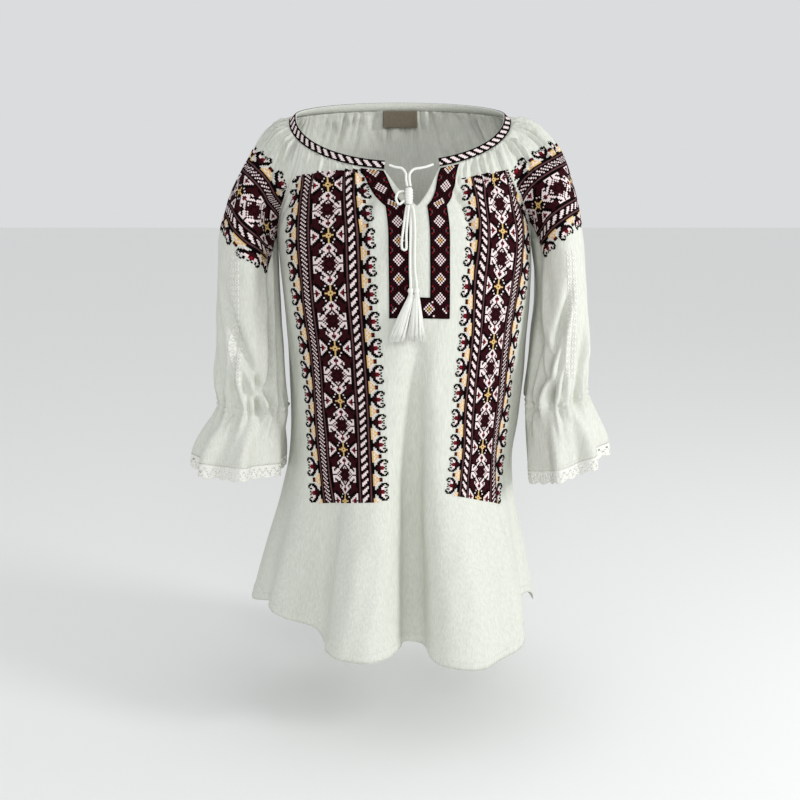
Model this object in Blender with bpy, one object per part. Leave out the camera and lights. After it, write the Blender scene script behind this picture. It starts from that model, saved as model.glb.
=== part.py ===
# Gathered folk blouse: raglan sleeves and body drawn into a narrow neckband.
#
# Frame: metres, +Z up. The wearer faces -Y, and +X is the wearer's left, which
# is the right-hand side for someone who looks at the front. The origin lies
# midway between the shoulders, level with the sides of the neckband.
#
# Every panel is a function of two numbers: how far across (-1 to 1) and how far
# down (0 at the neckband, 1 at the armpit level, 2 at the lower edge). A panel's
# wall is a grid of that function's points and the same points moved inward.

import math
import bpy
import bmesh
import numpy as np
from mathutils import Vector

# Cloth and seams
CLOTH = 0.0014
SEAM_GAP = 0.0003
ARMPIT_Z = -0.138
SIDE_SEAM_Y = -0.005

# Neckband
BAND_HALF_WIDTH = 0.1265
BAND_FRONT = 0.090
BAND_BACK = 0.075
BAND_FRONT_DROP = 0.056
BAND_BACK_RISE = 0.016
BAND_HEIGHT = 0.010
BAND_THICKNESS = 0.0026
BAND_STEPS = 92

# Angles round the neck, from the front centre (0) to the back (180), degrees
CENTRE_TURN_NECK = 6.5
CENTRE_TURN_BODY = 8.0
FRONT_RAGLAN = 62.0
BACK_RAGLAN = 122.0

# Centre slit: half its mouth as a share of the half panel, and its lower end
SLIT_MOUTH = 0.225
SLIT_END = 0.55

# Rows shared by every panel between the neckband and the armpit
YOKE_ROWS = [0.0, 0.05, 0.12, 0.22, 0.36, SLIT_END, 0.70, 0.85, 1.0]
BODY_ROWS = [1.10, 1.22, 1.34, 1.46, 1.58, 1.70, 1.80, 1.90, 2.0]
SLEEVE_ROWS = [1.12, 1.25, 1.38, 1.50, 1.60, 1.68, 1.73, 1.765, 1.80, 1.85, 1.92, 2.0]

# Gathers: two columns make one
FRONT_COLUMNS = 40
BACK_COLUMNS = 36
SLEEVE_COLUMNS = 36
GATHER_AT_BAND = 0.0008
GATHER_HIGHEST = 0.0024

# Body sections: height, half widths to -X and +X, depth to the front and back
BODY_FIELDS = ("z", "minus_x", "plus_x", "front", "back")
BODY_SECTIONS = [
    (-0.138, 0.1470, 0.1570, 0.117, 0.098),
    (-0.200, 0.1415, 0.1575, 0.127, 0.101),
    (-0.270, 0.1365, 0.1530, 0.125, 0.096),
    (-0.350, 0.1345, 0.1470, 0.120, 0.089),
    (-0.410, 0.1385, 0.1395, 0.122, 0.090),
    (-0.460, 0.1500, 0.1430, 0.131, 0.098),
    (-0.520, 0.1685, 0.1570, 0.149, 0.116),
    (-0.606, 0.1930, 0.1715, 0.180, 0.146),
]

# Folds that grow towards the hem: middle and half width across the panel,
# depth outward at the hem, and the height where each one starts
FOLD_FIELDS = ("middle", "half_width", "depth", "start_z")
FRONT_FOLDS = [
    (-0.040, 0.080, -0.042, -0.235),
    (-0.240, 0.120, 0.012, -0.330),
    (0.210, 0.130, 0.026, -0.300),
    (-0.500, 0.095, -0.032, -0.380),
    (-0.640, 0.080, 0.006, -0.420),
    (-0.780, 0.070, -0.011, -0.430),
    (0.470, 0.130, 0.020, -0.360),
    (0.740, 0.090, -0.010, -0.400),
]
BACK_FOLDS = [
    (-0.700, 0.100, -0.012, -0.400),
    (-0.420, 0.120, 0.014, -0.340),
    (-0.150, 0.100, -0.022, -0.300),
    (0.120, 0.130, 0.016, -0.320),
    (0.400, 0.100, -0.018, -0.360),
    (0.680, 0.110, 0.010, -0.400),
]

# Hem height, and where it rises: middle and half width across, and the lift
HEM_Z = -0.606
LIFT_FIELDS = ("middle", "half_width", "lift")
HEM_LIFTS = [
    (-0.700, 0.200, 0.026),
    (-0.045, 0.070, 0.006),
    (0.300, 0.220, -0.011),
    (0.800, 0.230, 0.030),
]
HEM_SIDE_LIFTS = {-1: 0.018, 1: 0.006}

# Sleeve sections below the armpit level. down counts from 1 at that level to 2
# at the lace's seam; inner and outer are distances from the centre plane
SLEEVE_FIELDS = ("down", "outer_z", "inner_z", "inner", "outer", "front_y", "back_y")
SLEEVE_SECTIONS = {
    -1: [
        (1.00, -0.144, -0.138, 0.1478, 0.2170, -0.062, 0.058),
        (1.25, -0.207, -0.207, 0.1450, 0.2200, -0.070, 0.045),
        (1.50, -0.276, -0.276, 0.1400, 0.2215, -0.080, 0.022),
        (1.68, -0.315, -0.318, 0.1375, 0.2205, -0.084, 0.006),
        (1.765, -0.333, -0.337, 0.1370, 0.2155, -0.083, 0.000),
        (1.80, -0.341, -0.345, 0.1370, 0.2175, -0.084, 0.000),
        (1.85, -0.354, -0.360, 0.1380, 0.2260, -0.090, 0.003),
        (2.00, -0.3990, -0.4020, 0.1410, 0.2460, -0.103, 0.014),
        (2.06, -0.4150, -0.4180, 0.1420, 0.2480, -0.105, 0.015),
    ],
    1: [
        (1.00, -0.144, -0.141, 0.1578, 0.2200, -0.062, 0.058),
        (1.25, -0.205, -0.205, 0.1640, 0.2225, -0.070, 0.045),
        (1.50, -0.270, -0.272, 0.1575, 0.2240, -0.080, 0.022),
        (1.68, -0.303, -0.314, 0.1530, 0.2240, -0.084, 0.006),
        (1.765, -0.319, -0.334, 0.1525, 0.2225, -0.083, 0.000),
        (1.80, -0.326, -0.342, 0.1525, 0.2240, -0.084, 0.000),
        (1.85, -0.340, -0.359, 0.1530, 0.2300, -0.089, 0.003),
        (2.00, -0.3830, -0.4150, 0.1570, 0.2440, -0.100, 0.014),
        (2.06, -0.3980, -0.4310, 0.1580, 0.2460, -0.102, 0.015),
    ],
}
# How the top of each shoulder leaves the neckband and turns down the arm
SHOULDER_START = {-1: (-0.118, 0.0, -0.012), 1: (0.185, 0.0, 0.020)}
SHOULDER_END = {-1: (-0.026, 0.0, -0.150), 1: (0.024, 0.0, -0.165)}
ELASTIC_DOWN = 1.78
ELASTIC_SPREAD = 0.065
SHIRR_HEIGHT = 0.0017
FLUTES = 7
FLUTE_HEIGHT = 0.0045
LACE_TOP = 2.0
LACE_FOOT = 2.06
SCALLOPS = 22
SCALLOP_DEPTH = 0.22

# Soft folds of the sleeves: middle and half width round the sleeve (-1 and 1
# meet under the arm), depth outward, and the stretch that each one spans
SLEEVE_FOLD_FIELDS = ("middle", "half_width", "depth", "top", "foot")
SLEEVE_FOLDS = {
    -1: [
        (-0.78, 0.10, -0.0050, 0.55, 1.85),
        (-0.60, 0.11, 0.0040, 0.60, 1.80),
        (-0.28, 0.10, -0.0035, 1.00, 1.75),
        (0.30, 0.12, -0.0050, 0.90, 1.80),
        (0.62, 0.12, 0.0045, 0.60, 1.75),
        (-0.45, 0.10, -0.0040, 0.02, 0.55),
        (-0.12, 0.09, -0.0045, 0.02, 0.60),
        (0.25, 0.10, -0.0040, 0.02, 0.55),
    ],
    1: [
        (-0.80, 0.10, -0.0045, 0.60, 1.80),
        (-0.50, 0.12, -0.0035, 1.05, 1.75),
        (-0.20, 0.10, 0.0035, 0.90, 1.70),
        (0.30, 0.12, -0.0050, 0.90, 1.80),
        (0.60, 0.12, 0.0045, 0.60, 1.75),
        (-0.50, 0.10, -0.0040, 0.02, 0.50),
        (-0.20, 0.09, -0.0045, 0.02, 0.60),
        (0.20, 0.10, -0.0040, 0.02, 0.55),
    ],
}

# Embroidered band round the slit: distances from the centre line
PLACKET_WIDTH = 0.023
PLACKET_INNER_TOP = 0.002
PLACKET_INNER = 0.0115
PLACKET_BAR_TOP_Z = -0.201
PLACKET_BAR_FOOT_Z = -0.2235
PLACKET_LIFT = 0.0004
PLACKET_THICKNESS = 0.0010
FLAT_BESIDE_SLIT = 0.036

# Label inside the back neck
LABEL_WIDTH = 0.042
LABEL_HEIGHT = 0.020
LABEL_THICKNESS = 0.0010
LABEL_CLEAR = 0.0026

# Ties. A route's points are x, z and the distance of the cord's centre in
# front of the cloth, all chosen by hand
CORD = 0.0030
CORD_STEP = 2.4
TAIL_DROP = 0.004
ROUTE_FIELDS = ("x", "z", "lift")
TIE_ROUTES = {
    "tie_right": [
        (-0.0125, -0.0553, 0.0045), (-0.0040, -0.0580, 0.0056), (0.0030, -0.0595, 0.0064),
        (0.0062, -0.0640, 0.0066), (0.0068, -0.0720, 0.0062), (0.0082, -0.0788, 0.0062),
    ],
    "tie_left": [
        (0.0372, -0.0545, 0.0045), (0.0270, -0.0580, 0.0056), (0.0160, -0.0598, 0.0064),
        (0.0112, -0.0640, 0.0068), (0.0106, -0.0720, 0.0064), (0.0117, -0.0788, 0.0062),
    ],
    "bow_loop_short": [
        (0.0048, -0.0836, 0.0062), (0.0010, -0.0830, 0.0066), (-0.0033, -0.0870, 0.0068),
        (-0.0042, -0.0930, 0.0066), (-0.0018, -0.0975, 0.0062), (0.0024, -0.0968, 0.0058),
        (0.0047, -0.0938, 0.0058),
    ],
    "bow_loop_long": [
        (0.0076, -0.0987, 0.0056), (0.0058, -0.1100, 0.0052), (0.0032, -0.1280, 0.0046),
        (0.0018, -0.1400, 0.0046), (0.0030, -0.1470, 0.0046), (0.0058, -0.1485, 0.0046),
        (0.0070, -0.1430, 0.0046), (0.0070, -0.1300, 0.0046), (0.0082, -0.1130, 0.0058),
        (0.0098, -0.0984, 0.0090),
    ],
    "tail_right": [
        (0.0120, -0.0984, 0.0044), (0.0120, -0.1100, 0.0038), (0.0116, -0.1300, 0.0036),
        (0.0112, -0.1500, 0.0036), (0.0112, -0.1700, 0.0042), (0.0118, -0.1840, 0.0066),
    ],
    "tail_left": [
        (0.0132, -0.0984, 0.0082), (0.0154, -0.1080, 0.0060), (0.0166, -0.1280, 0.0042),
        (0.0162, -0.1500, 0.0040), (0.0166, -0.1700, 0.0044), (0.0184, -0.1840, 0.0068),
    ],
}
KNOT_CENTRE = (0.0100, -0.0888, 0.0062)
KNOT_HALF = (0.0044, 0.0042, 0.0092)
KNOT_SIDES = 12
KNOT_PROFILE = [(1.0, 0.82), (0.72, 1.0), (0.0, 0.92), (-0.72, 1.0), (-1.0, 0.82)]
TASSEL_HEAD = 0.0031
TASSEL_LENGTH = 0.050
TASSEL_FORWARD = 0.11
TASSEL_SIDES = 14
TASSEL_PROFILE = [(0.45, 0.0), (0.95, -0.0018), (1.0, -0.0042), (0.80, -0.0066), (0.95, -0.0095)]
TASSEL_HUB = 0.5
STRAND_GAP = 0.045
STRAND_STOPS = (0.35, 1.0)
STRAND_UNEVEN = 0.04
TASSELS = {
    "tassel_right": {"tail": "tail_right", "lean": -0.35, "spread": 0.0072},
    "tassel_left": {"tail": "tail_left", "lean": -0.005, "spread": 0.0087},
}

IVORY = (0.80, 0.80, 0.74, 1.0)
WHITE_COTTON = (0.86, 0.86, 0.82, 1.0)
BLACK_THREAD = (0.006, 0.005, 0.005, 1.0)
GARNET_THREAD = (0.045, 0.006, 0.012, 1.0)
LABEL_TAPE = (0.17, 0.15, 0.11, 1.0)


def column(fields, rows, name):
    """One named column of a table, as an array."""
    return np.array([row[fields.index(name)] for row in rows], float)


def named(fields, rows):
    """A table's rows with their columns by name."""
    return [dict(zip(fields, row)) for row in rows]


def smooth(fields, rows, name, at):
    """A table's column as a smooth curve over its first column."""
    keys = column(fields, rows, fields[0])
    values = column(fields, rows, name)
    if keys[0] > keys[-1]:
        keys = keys[::-1]
        values = values[::-1]
    slopes = np.gradient(values, keys)
    at = np.clip(at, keys[0], keys[-1])
    cell = np.clip(np.searchsorted(keys, at, side="right") - 1, 0, len(keys) - 2)
    span = keys[cell + 1] - keys[cell]
    t = (at - keys[cell]) / span
    start = (2 * t ** 3 - 3 * t ** 2 + 1) * values[cell] + (t ** 3 - 2 * t ** 2 + t) * span * slopes[cell]
    end = (3 * t ** 2 - 2 * t ** 3) * values[cell + 1] + (t ** 3 - t ** 2) * span * slopes[cell + 1]
    return start + end


def ease(t):
    """0 to 1, with no slope at either end."""
    t = np.clip(t, 0.0, 1.0)
    return t * t * (3.0 - 2.0 * t)


def vec(x, y, z):
    """Three arrays, or numbers, as one array of points."""
    return np.stack(np.broadcast_arrays(*[np.asarray(v, float) for v in (x, y, z)]), axis=-1)


def unit(v):
    return v / np.maximum(np.linalg.norm(v, axis=-1, keepdims=True), 1e-12)


def hermite(start, start_pull, end, end_pull, t):
    """The curve from start to end that leaves and arrives along the pulls."""
    t = np.asarray(t, float)[..., None]
    first = (2 * t ** 3 - 3 * t ** 2 + 1) * start + (t ** 3 - 2 * t ** 2 + t) * start_pull
    return first + (3 * t ** 2 - 2 * t ** 3) * end + (t ** 3 - t ** 2) * end_pull


def band_centre(angle):
    """The middle of the neckband's height, at an angle round the neck in degrees."""
    a = np.radians(angle)
    front = np.maximum(np.cos(a), 0.0)
    back = np.maximum(-np.cos(a), 0.0)
    return vec(BAND_HALF_WIDTH * np.sin(a), BAND_BACK * back - BAND_FRONT * front,
               BAND_BACK_RISE * back - BAND_FRONT_DROP * front)


def band_up(angle):
    """The direction from the neckband's lower edge to its upper edge."""
    a = np.radians(angle)
    side = np.sin(a) ** 2
    lean = np.where(np.cos(a) > 0, 0.45, 0.30) * (1 - side) + 1.10 * side
    return unit(vec(-lean * np.sin(a), lean * np.cos(a), 1.0))


def band_along(angle):
    return unit(band_centre(np.asarray(angle) + 0.5) - band_centre(np.asarray(angle) - 0.5))


def band_out(angle):
    """The direction in which the neckband's outer face looks."""
    across = np.cross(band_up(angle), band_along(angle))
    plan = band_centre(angle) * np.array([1.0, 1.0, 0.0])
    return unit(across * np.sign(np.sum(across * plan, axis=-1, keepdims=True)))


def neck_edge(angle):
    """Where cloth is sewn to the neckband."""
    return band_centre(angle) - band_up(angle) * (BAND_HEIGHT / 2 + SEAM_GAP)


def body_point(angle, z):
    """The body's plain section, without folds, at an angle from the front centre."""
    a = np.radians(angle)
    sine = np.sin(a)
    cosine = np.cos(a)
    half = np.where(sine < 0, smooth(BODY_FIELDS, BODY_SECTIONS, "minus_x", z),
                    smooth(BODY_FIELDS, BODY_SECTIONS, "plus_x", z))
    depth = np.where(cosine > 0, smooth(BODY_FIELDS, BODY_SECTIONS, "front", z),
                     smooth(BODY_FIELDS, BODY_SECTIONS, "back", z))
    return vec(half * sine, SIDE_SEAM_Y - (depth + SIDE_SEAM_Y) * cosine, z)


def armpit(side):
    return body_point(90.0 * side, ARMPIT_Z)


def seam_pulls(side, face):
    """How a raglan seam leaves the neckband and reaches the armpit. face is -1 in front."""
    if face < 0:
        return vec(0.010 * side, -0.078, -0.108), vec(0.008 * side, 0.062, -0.100)
    return vec(0.030 * side, 0.062, -0.105), vec(0.008 * side, -0.060, -0.100)


def fold_bump(across, middle, half_width):
    return np.exp(-((across - middle) / half_width) ** 2)


def hem_height(across, face):
    """The hem rises towards the side seams, and unevenly along the front."""
    height = HEM_Z + np.where(across < 0, HEM_SIDE_LIFTS[-1], HEM_SIDE_LIFTS[1]) * np.abs(across) ** 4
    if face < 0:
        calm = 1.0 - np.abs(across) ** 12
        for row in named(LIFT_FIELDS, HEM_LIFTS):
            height = height + row["lift"] * calm * fold_bump(across, row["middle"], row["half_width"])
    return height


def panel_height(across, down, face):
    return ARMPIT_Z + (hem_height(across, face) - ARMPIT_Z) * (down - 1.0)


def panel_angles(across, face):
    """Angles at the neck and at the body for a place across the front or back."""
    if face < 0:
        turn = 1.0 - across ** 2
        return (CENTRE_TURN_NECK * turn + FRONT_RAGLAN * across,
                CENTRE_TURN_BODY * turn + 90.0 * across)
    return 180.0 - (180.0 - BACK_RAGLAN) * across, 180.0 - 90.0 * across


def panel_base(across, down, face):
    """A front (face -1) or back (face 1) panel without gathers, slit or seam gaps."""
    across, down = np.broadcast_arrays(np.asarray(across, float), np.asarray(down, float))
    neck, round_body = panel_angles(across, face)
    side = np.sign(across)
    near_seam = np.abs(across)[..., None] ** 2
    at_seam = np.abs(across)[..., None] ** 10
    seam_start, seam_end = seam_pulls(side, face)
    start_pull = vec(0.0, 0.035 * face, -0.075) * (1 - near_seam) + seam_start * near_seam
    end_pull = vec(0.0, 0.030 * face * (1 - near_seam[..., 0]), -0.100) * (1 - at_seam)
    end_pull = end_pull + seam_end * at_seam
    chest = body_point(round_body, ARMPIT_Z)
    yoke = hermite(neck_edge(neck), start_pull, chest, end_pull, np.clip(down, 0.0, 1.0))
    z = panel_height(across, np.maximum(down, 1.0), face)
    lower = body_point(round_body, z)
    outward = unit(lower * np.array([1.0, 1.0, 0.0]))
    folds = FRONT_FOLDS if face < 0 else BACK_FOLDS
    push = np.zeros(across.shape)
    for fold in named(FOLD_FIELDS, folds):
        grow = ease((fold["start_z"] - z) / (fold["start_z"] - HEM_Z)) ** 0.9
        push = push + fold["depth"] * grow * fold_bump(across, fold["middle"], fold["half_width"])
    push = push * (1.0 - np.abs(across) ** 12)
    lower = lower + outward * push[..., None]
    return np.where((down > 1.0)[..., None], lower, yoke)


def slit_across(half, down):
    """Place across the front for a share of a half panel; the slit pushes it aside."""
    half = np.asarray(half, float)
    mouth = SLIT_MOUTH * np.clip(1.0 - np.asarray(down, float) / SLIT_END, 0.0, 1.0)
    return np.sign(half) * (mouth + np.abs(half) * (1.0 - mouth))


def surface_normal(point, across, down, outward):
    """Unit normal of a point function, by differences, turned to face outward."""
    step = 0.004
    low = np.maximum(down - step, 0.0)
    left = np.clip(across - step, -1.0, 1.0)
    right = np.clip(across + step, -1.0, 1.0)
    along = point(across, low + 2 * step) - point(across, low)
    over = point(right, down) - point(left, down)
    normal = unit(np.cross(over, along))
    flip = np.sign(np.sum(normal * outward, axis=-1, keepdims=True))
    return normal * np.where(flip == 0, 1.0, flip)


def raglan_normal(side, face, down):
    """The direction that both cloths share at a raglan seam, pointing out."""
    t = np.clip(down, 0.0, 1.0)
    out = side * (0.45 * (1 - t) - 0.02 * t)
    ahead = face * (0.55 + 1.2 * t * (1 - t) - 0.50 * t ** 4)
    up = 0.70 * (1 - t) ** 1.5 - 1.1 * t ** 5
    return unit(vec(out, ahead, up))


def towards(point, across, down, along, normal):
    """The direction in the cloth from an edge to the panel's own middle."""
    inward = point(across * 0.97, down) - point(across, down)
    inward = inward - along * np.sum(inward * along, axis=-1, keepdims=True)
    inward = inward - normal * np.sum(inward * normal, axis=-1, keepdims=True)
    return unit(inward)


def at_band(normal, angle, down):
    """At the neckband, cloth lies in the band's own plane."""
    share = (1.0 - ease(down / YOKE_ROWS[1]))[..., None]
    return unit(normal * (1 - share) + band_out(angle) * share)


def gather_height(down):
    """How far neck gathers stand off, by the place down the panel."""
    rise = GATHER_AT_BAND + (GATHER_HIGHEST - GATHER_AT_BAND) * ease(down / 0.10)
    return rise * (1.0 - ease((down - 0.12) / 0.55))


def panel_layers(across, down, face, ripple):
    """Outer and inner points of a front or back panel."""
    def point(u, v):
        return panel_base(u, v, face)
    normal = surface_normal(point, across, down, point(across, down) * np.array([1.0, 1.0, 0.0]))
    side = np.sign(across)
    share = np.abs(across)[..., None] ** 14
    at_side = np.where((down >= 1.0)[..., None], vec(side, 0.0, 0.0), raglan_normal(side, face, down))
    blend_crotch = (1.0 - ease(np.abs(down - 1.0) / 0.10))[..., None]
    at_side = unit(at_side + blend_crotch * vec(0.3 * side, 0.0, -1.0))
    normal = unit(normal * (1 - share) + at_side * share)
    normal = at_band(normal, panel_angles(across, face)[0], down)
    edge = (np.abs(across) > 0.999)[..., None]
    along = unit(point(across, down + 0.01) - point(across, np.maximum(down - 0.01, 0.0)))
    outer = point(across, down) + normal * (ripple * gather_height(down))[..., None]
    outer = outer + np.where(edge, towards(point, across, down, along, normal) * SEAM_GAP / 2, 0.0)
    return outer, outer - normal * CLOTH


def sleeve_section(side, round_sleeve, down):
    """A sleeve's plain section at and below the armpit level."""
    rows = SLEEVE_SECTIONS[side]
    turn = math.pi * round_sleeve
    inner = smooth(SLEEVE_FIELDS, rows, "inner", down)
    outer = smooth(SLEEVE_FIELDS, rows, "outer", down)
    front = smooth(SLEEVE_FIELDS, rows, "front_y", down)
    back = smooth(SLEEVE_FIELDS, rows, "back_y", down)
    outer_z = smooth(SLEEVE_FIELDS, rows, "outer_z", down)
    inner_z = smooth(SLEEVE_FIELDS, rows, "inner_z", down)
    share = 0.5 + 0.5 * np.cos(turn)
    depth_share = 0.5 + 0.5 * np.sin(turn)
    return vec(side * (inner + (outer - inner) * share), front + (back - front) * depth_share,
               inner_z + (outer_z - inner_z) * share)


def sleeve_neck(round_sleeve):
    """The angle round the neck where a line of the sleeve starts."""
    middle = (FRONT_RAGLAN + BACK_RAGLAN) / 2
    return middle + (BACK_RAGLAN - FRONT_RAGLAN) / 2 * round_sleeve


def sleeve_base(side, round_sleeve, down):
    """A sleeve without gathers, shirring or flutes."""
    round_sleeve, down = np.broadcast_arrays(np.asarray(round_sleeve, float), np.asarray(down, float))
    neck = sleeve_neck(round_sleeve)
    face = np.where(round_sleeve < 0, -1.0, 1.0)
    front_start, front_end = seam_pulls(side, -1)
    back_start, back_end = seam_pulls(side, 1)
    ahead = (face < 0)[..., None]
    at_seam = np.abs(round_sleeve)[..., None] ** 2.2
    at_end = np.abs(round_sleeve)[..., None] ** 3
    seam_start = np.where(ahead, front_start, back_start)
    seam_end = np.where(ahead, front_end, back_end)
    start_pull = vec(*SHOULDER_START[side]) * (1 - at_seam) + seam_start * at_seam
    outer_share = (0.5 + 0.5 * np.cos(math.pi * round_sleeve))[..., None]
    arrive = vec(*SHOULDER_END[side]) * np.concatenate([outer_share, np.ones_like(outer_share),
                                                        np.ones_like(outer_share)], axis=-1)
    end_pull = arrive * (1 - at_end) + seam_end * at_end
    level = sleeve_section(side, round_sleeve, np.ones(down.shape))
    crotch = np.abs(round_sleeve)[..., None] ** 8
    level = level * (1 - crotch) + armpit(side) * crotch
    yoke = hermite(neck_edge(side * neck), start_pull, level, end_pull, np.clip(down, 0.0, 1.0))
    lower = sleeve_section(side, round_sleeve, np.maximum(down, 1.0))
    settle = (1.0 - ease((down - 1.0) / 0.12))[..., None] * crotch
    lower = lower + (armpit(side) - sleeve_section(side, 1.0, 1.0)) * settle
    points = np.where((down > 1.0)[..., None], lower, yoke)
    middle = sleeve_middle(side, down)
    outward = unit((points - middle) * np.array([1.0, 1.0, 0.35]))
    push = np.zeros(down.shape)
    for fold in named(SLEEVE_FOLD_FIELDS, SLEEVE_FOLDS[side]):
        span = ease((down - fold["top"]) / 0.35) * ease((fold["foot"] - down) / 0.25)
        push = push + fold["depth"] * span * fold_bump(round_sleeve, fold["middle"], fold["half_width"])
    push = push * (1.0 - np.abs(round_sleeve) ** 10)
    return points + outward * push[..., None]


def sleeve_middle(side, down):
    """The middle of the sleeve's section, or of the armhole above the armpit."""
    low = np.maximum(down, 1.0)
    middle = 0.5 * (sleeve_section(side, 0.0, low) + sleeve_section(side, 1.0, low))
    lift = np.clip(1.0 - down, 0.0, 1.0)
    return middle + vec(-0.035 * side * lift, 0.0 * lift, 0.075 * lift)


def shirring_height(down):
    return SHIRR_HEIGHT * np.exp(-((down - ELASTIC_DOWN) / ELASTIC_SPREAD) ** 2)


def flute(side, round_sleeve, down):
    """The flounce's waves, which grow from the elastic to the lace."""
    grow = ease((down - ELASTIC_DOWN) / (LACE_TOP - ELASTIC_DOWN))
    calm = 1.0 - 0.6 * np.abs(round_sleeve) ** 6
    return FLUTE_HEIGHT * grow * calm * np.cos(FLUTES * math.pi * round_sleeve + 0.6 * side)


def sleeve_layers(side, round_sleeve, down, ripple):
    """Outer and inner points of a sleeve."""
    def point(u, v):
        return sleeve_base(side, u, v)
    base = point(round_sleeve, down)
    normal = surface_normal(point, round_sleeve, down, base - sleeve_middle(side, down))
    share = np.abs(round_sleeve)[..., None] ** 14
    face = np.where(round_sleeve < 0, -1.0, 1.0)
    under = vec(-1.0 * side, 0.0, 0.0)
    at_side = np.where((down > 1.0)[..., None], under, raglan_normal(side, face, down))
    blend_crotch = (1.0 - ease(np.abs(down - 1.0) / 0.10))[..., None]
    at_side = unit(at_side + blend_crotch * vec(-0.3 * side, 0.0, -1.0))
    normal = unit(normal * (1 - share) + at_side * share)
    normal = at_band(normal, side * sleeve_neck(round_sleeve), down)
    lift = ripple * (gather_height(down) + shirring_height(down)) + flute(side, round_sleeve, down)
    edge = (np.abs(round_sleeve) > 0.999)[..., None] & (down < 1.001)[..., None]
    along = unit(point(round_sleeve, down + 0.01) - point(round_sleeve, np.maximum(down - 0.01, 0.0)))
    away = towards(point, round_sleeve, down, along, normal)
    outer = base + normal * lift[..., None] + np.where(edge, away * SEAM_GAP / 2, 0.0)
    outer = outer + np.where((down >= 0.999)[..., None], vec(side * SEAM_GAP, 0.0, 0.0) * share, 0.0)
    return outer, outer - normal * CLOTH


def paint(ob, colour, roughness=0.9):
    """Give an object its own Principled material."""
    material = bpy.data.materials.new(ob.name + "_cloth")
    material.use_nodes = True
    shader = material.node_tree.nodes["Principled BSDF"]
    shader.inputs["Base Color"].default_value = colour
    shader.inputs["Roughness"].default_value = roughness
    shader.inputs["Metallic"].default_value = 0.0
    material.diffuse_color = colour
    ob.data.materials.append(material)


def add_object(name, bm, colour):
    """Put a bmesh into the scene as a named object with its faces turned out."""
    bmesh.ops.recalc_face_normals(bm, faces=bm.faces[:])
    mesh = bpy.data.meshes.new(name)
    bm.to_mesh(mesh)
    bm.free()
    ob = bpy.data.objects.new(name, mesh)
    bpy.context.scene.collection.objects.link(ob)
    paint(ob, colour)
    return ob


def wall(name, outer, inner, colour, skip=None, welds=()):
    """A closed wall between two grids of points. skip marks cells that are left
    out, and each weld (row, column, other) joins two columns of that row."""
    rows, columns = outer.shape[:2]
    bm = bmesh.new()
    number = {(row, col): (row, col) for row in range(rows) for col in range(columns)}
    number.update({(row, other): (row, col) for row, col, other in welds})
    wanted = [(r, c) for r in range(rows - 1) for c in range(columns - 1)
              if skip is None or not skip(r, c)]
    corners = {number[r + dr, c + dc] for r, c in wanted for dr in (0, 1) for dc in (0, 1)}
    over = {key: bm.verts.new(outer[key]) for key in sorted(corners)}
    under = {key: bm.verts.new(inner[key]) for key in sorted(corners)}
    used = {}
    for r, c in wanted:
        ring = [number[r, c], number[r, c + 1], number[r + 1, c + 1], number[r + 1, c]]
        bm.faces.new([over[key] for key in ring])
        bm.faces.new([under[key] for key in reversed(ring)])
        for first, second in zip(ring, ring[1:] + ring[:1]):
            edge = frozenset((first, second))
            used.setdefault(edge, []).append((first, second))
    for directions in used.values():
        if len(directions) == 1:
            first, second = directions[0]
            bm.faces.new([over[second], over[first], under[first], under[second]])
    return add_object(name, bm, colour)


def alternate(count):
    """1, -1, 1 ... for one gather every two columns."""
    return np.where(np.arange(count) % 2 == 0, 1.0, -1.0)


def across_share(distance, down):
    """The share of a half front panel that lies this far from the slit's edge."""
    step = 0.02
    first = panel_base(slit_across(step, down), down, -1)
    second = panel_base(slit_across(3 * step, down), down, -1)
    return distance * 2 * step / np.linalg.norm(second - first, axis=-1)


def make_front():
    half = FRONT_COLUMNS // 2
    halves = np.concatenate([np.linspace(-1, 0, half + 1), np.linspace(0, 1, half + 1)])
    halves[half] = -1e-9
    halves[half + 1] = 1e-9
    down = np.array(YOKE_ROWS + BODY_ROWS)
    share, rows = np.meshgrid(halves, down)
    across = slit_across(share, rows)
    ripple = np.concatenate([alternate(half + 1), alternate(half + 1)])
    flat = across_share(FLAT_BESIDE_SLIT, 0.3)
    ripple = ripple * ease((np.abs(halves) - flat * 0.85) / (flat * 0.5)) * (1 - halves ** 20)
    outer, inner = panel_layers(across, rows, -1, np.broadcast_to(ripple, rows.shape))
    end = YOKE_ROWS.index(SLIT_END)
    welds = [(row, half, half + 1) for row in range(end, len(down))]
    wall("front_panel", outer, inner, IVORY, lambda r, c: c == half, welds)


def make_back():
    down = np.array(YOKE_ROWS + BODY_ROWS)
    across, rows = np.meshgrid(np.linspace(-1, 1, BACK_COLUMNS + 1), down)
    ripple = np.broadcast_to(alternate(BACK_COLUMNS + 1) * (1 - across[0] ** 20), rows.shape)
    outer, inner = panel_layers(across, rows, 1, ripple)
    wall("back_panel", outer, inner, IVORY)


def make_sleeve(side, name):
    down = np.array(YOKE_ROWS + SLEEVE_ROWS)
    around, rows = np.meshgrid(np.linspace(-1, 1, SLEEVE_COLUMNS + 1), down)
    ripple = np.where(rows > 1.0, alternate(SLEEVE_COLUMNS + 1),
                      alternate(SLEEVE_COLUMNS + 1) * (1 - around[0] ** 20))
    outer, inner = sleeve_layers(side, around, rows, ripple)
    for layer in (outer, inner):
        closed = down >= 1.0
        middle = 0.5 * (layer[closed, 0] + layer[closed, -1])
        layer[closed, 0] = middle
        layer[closed, -1] = middle
    welds = [(row, 0, SLEEVE_COLUMNS) for row in range(len(YOKE_ROWS) - 1, len(down))]
    wall(name, outer, inner, IVORY, None, welds)


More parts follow.
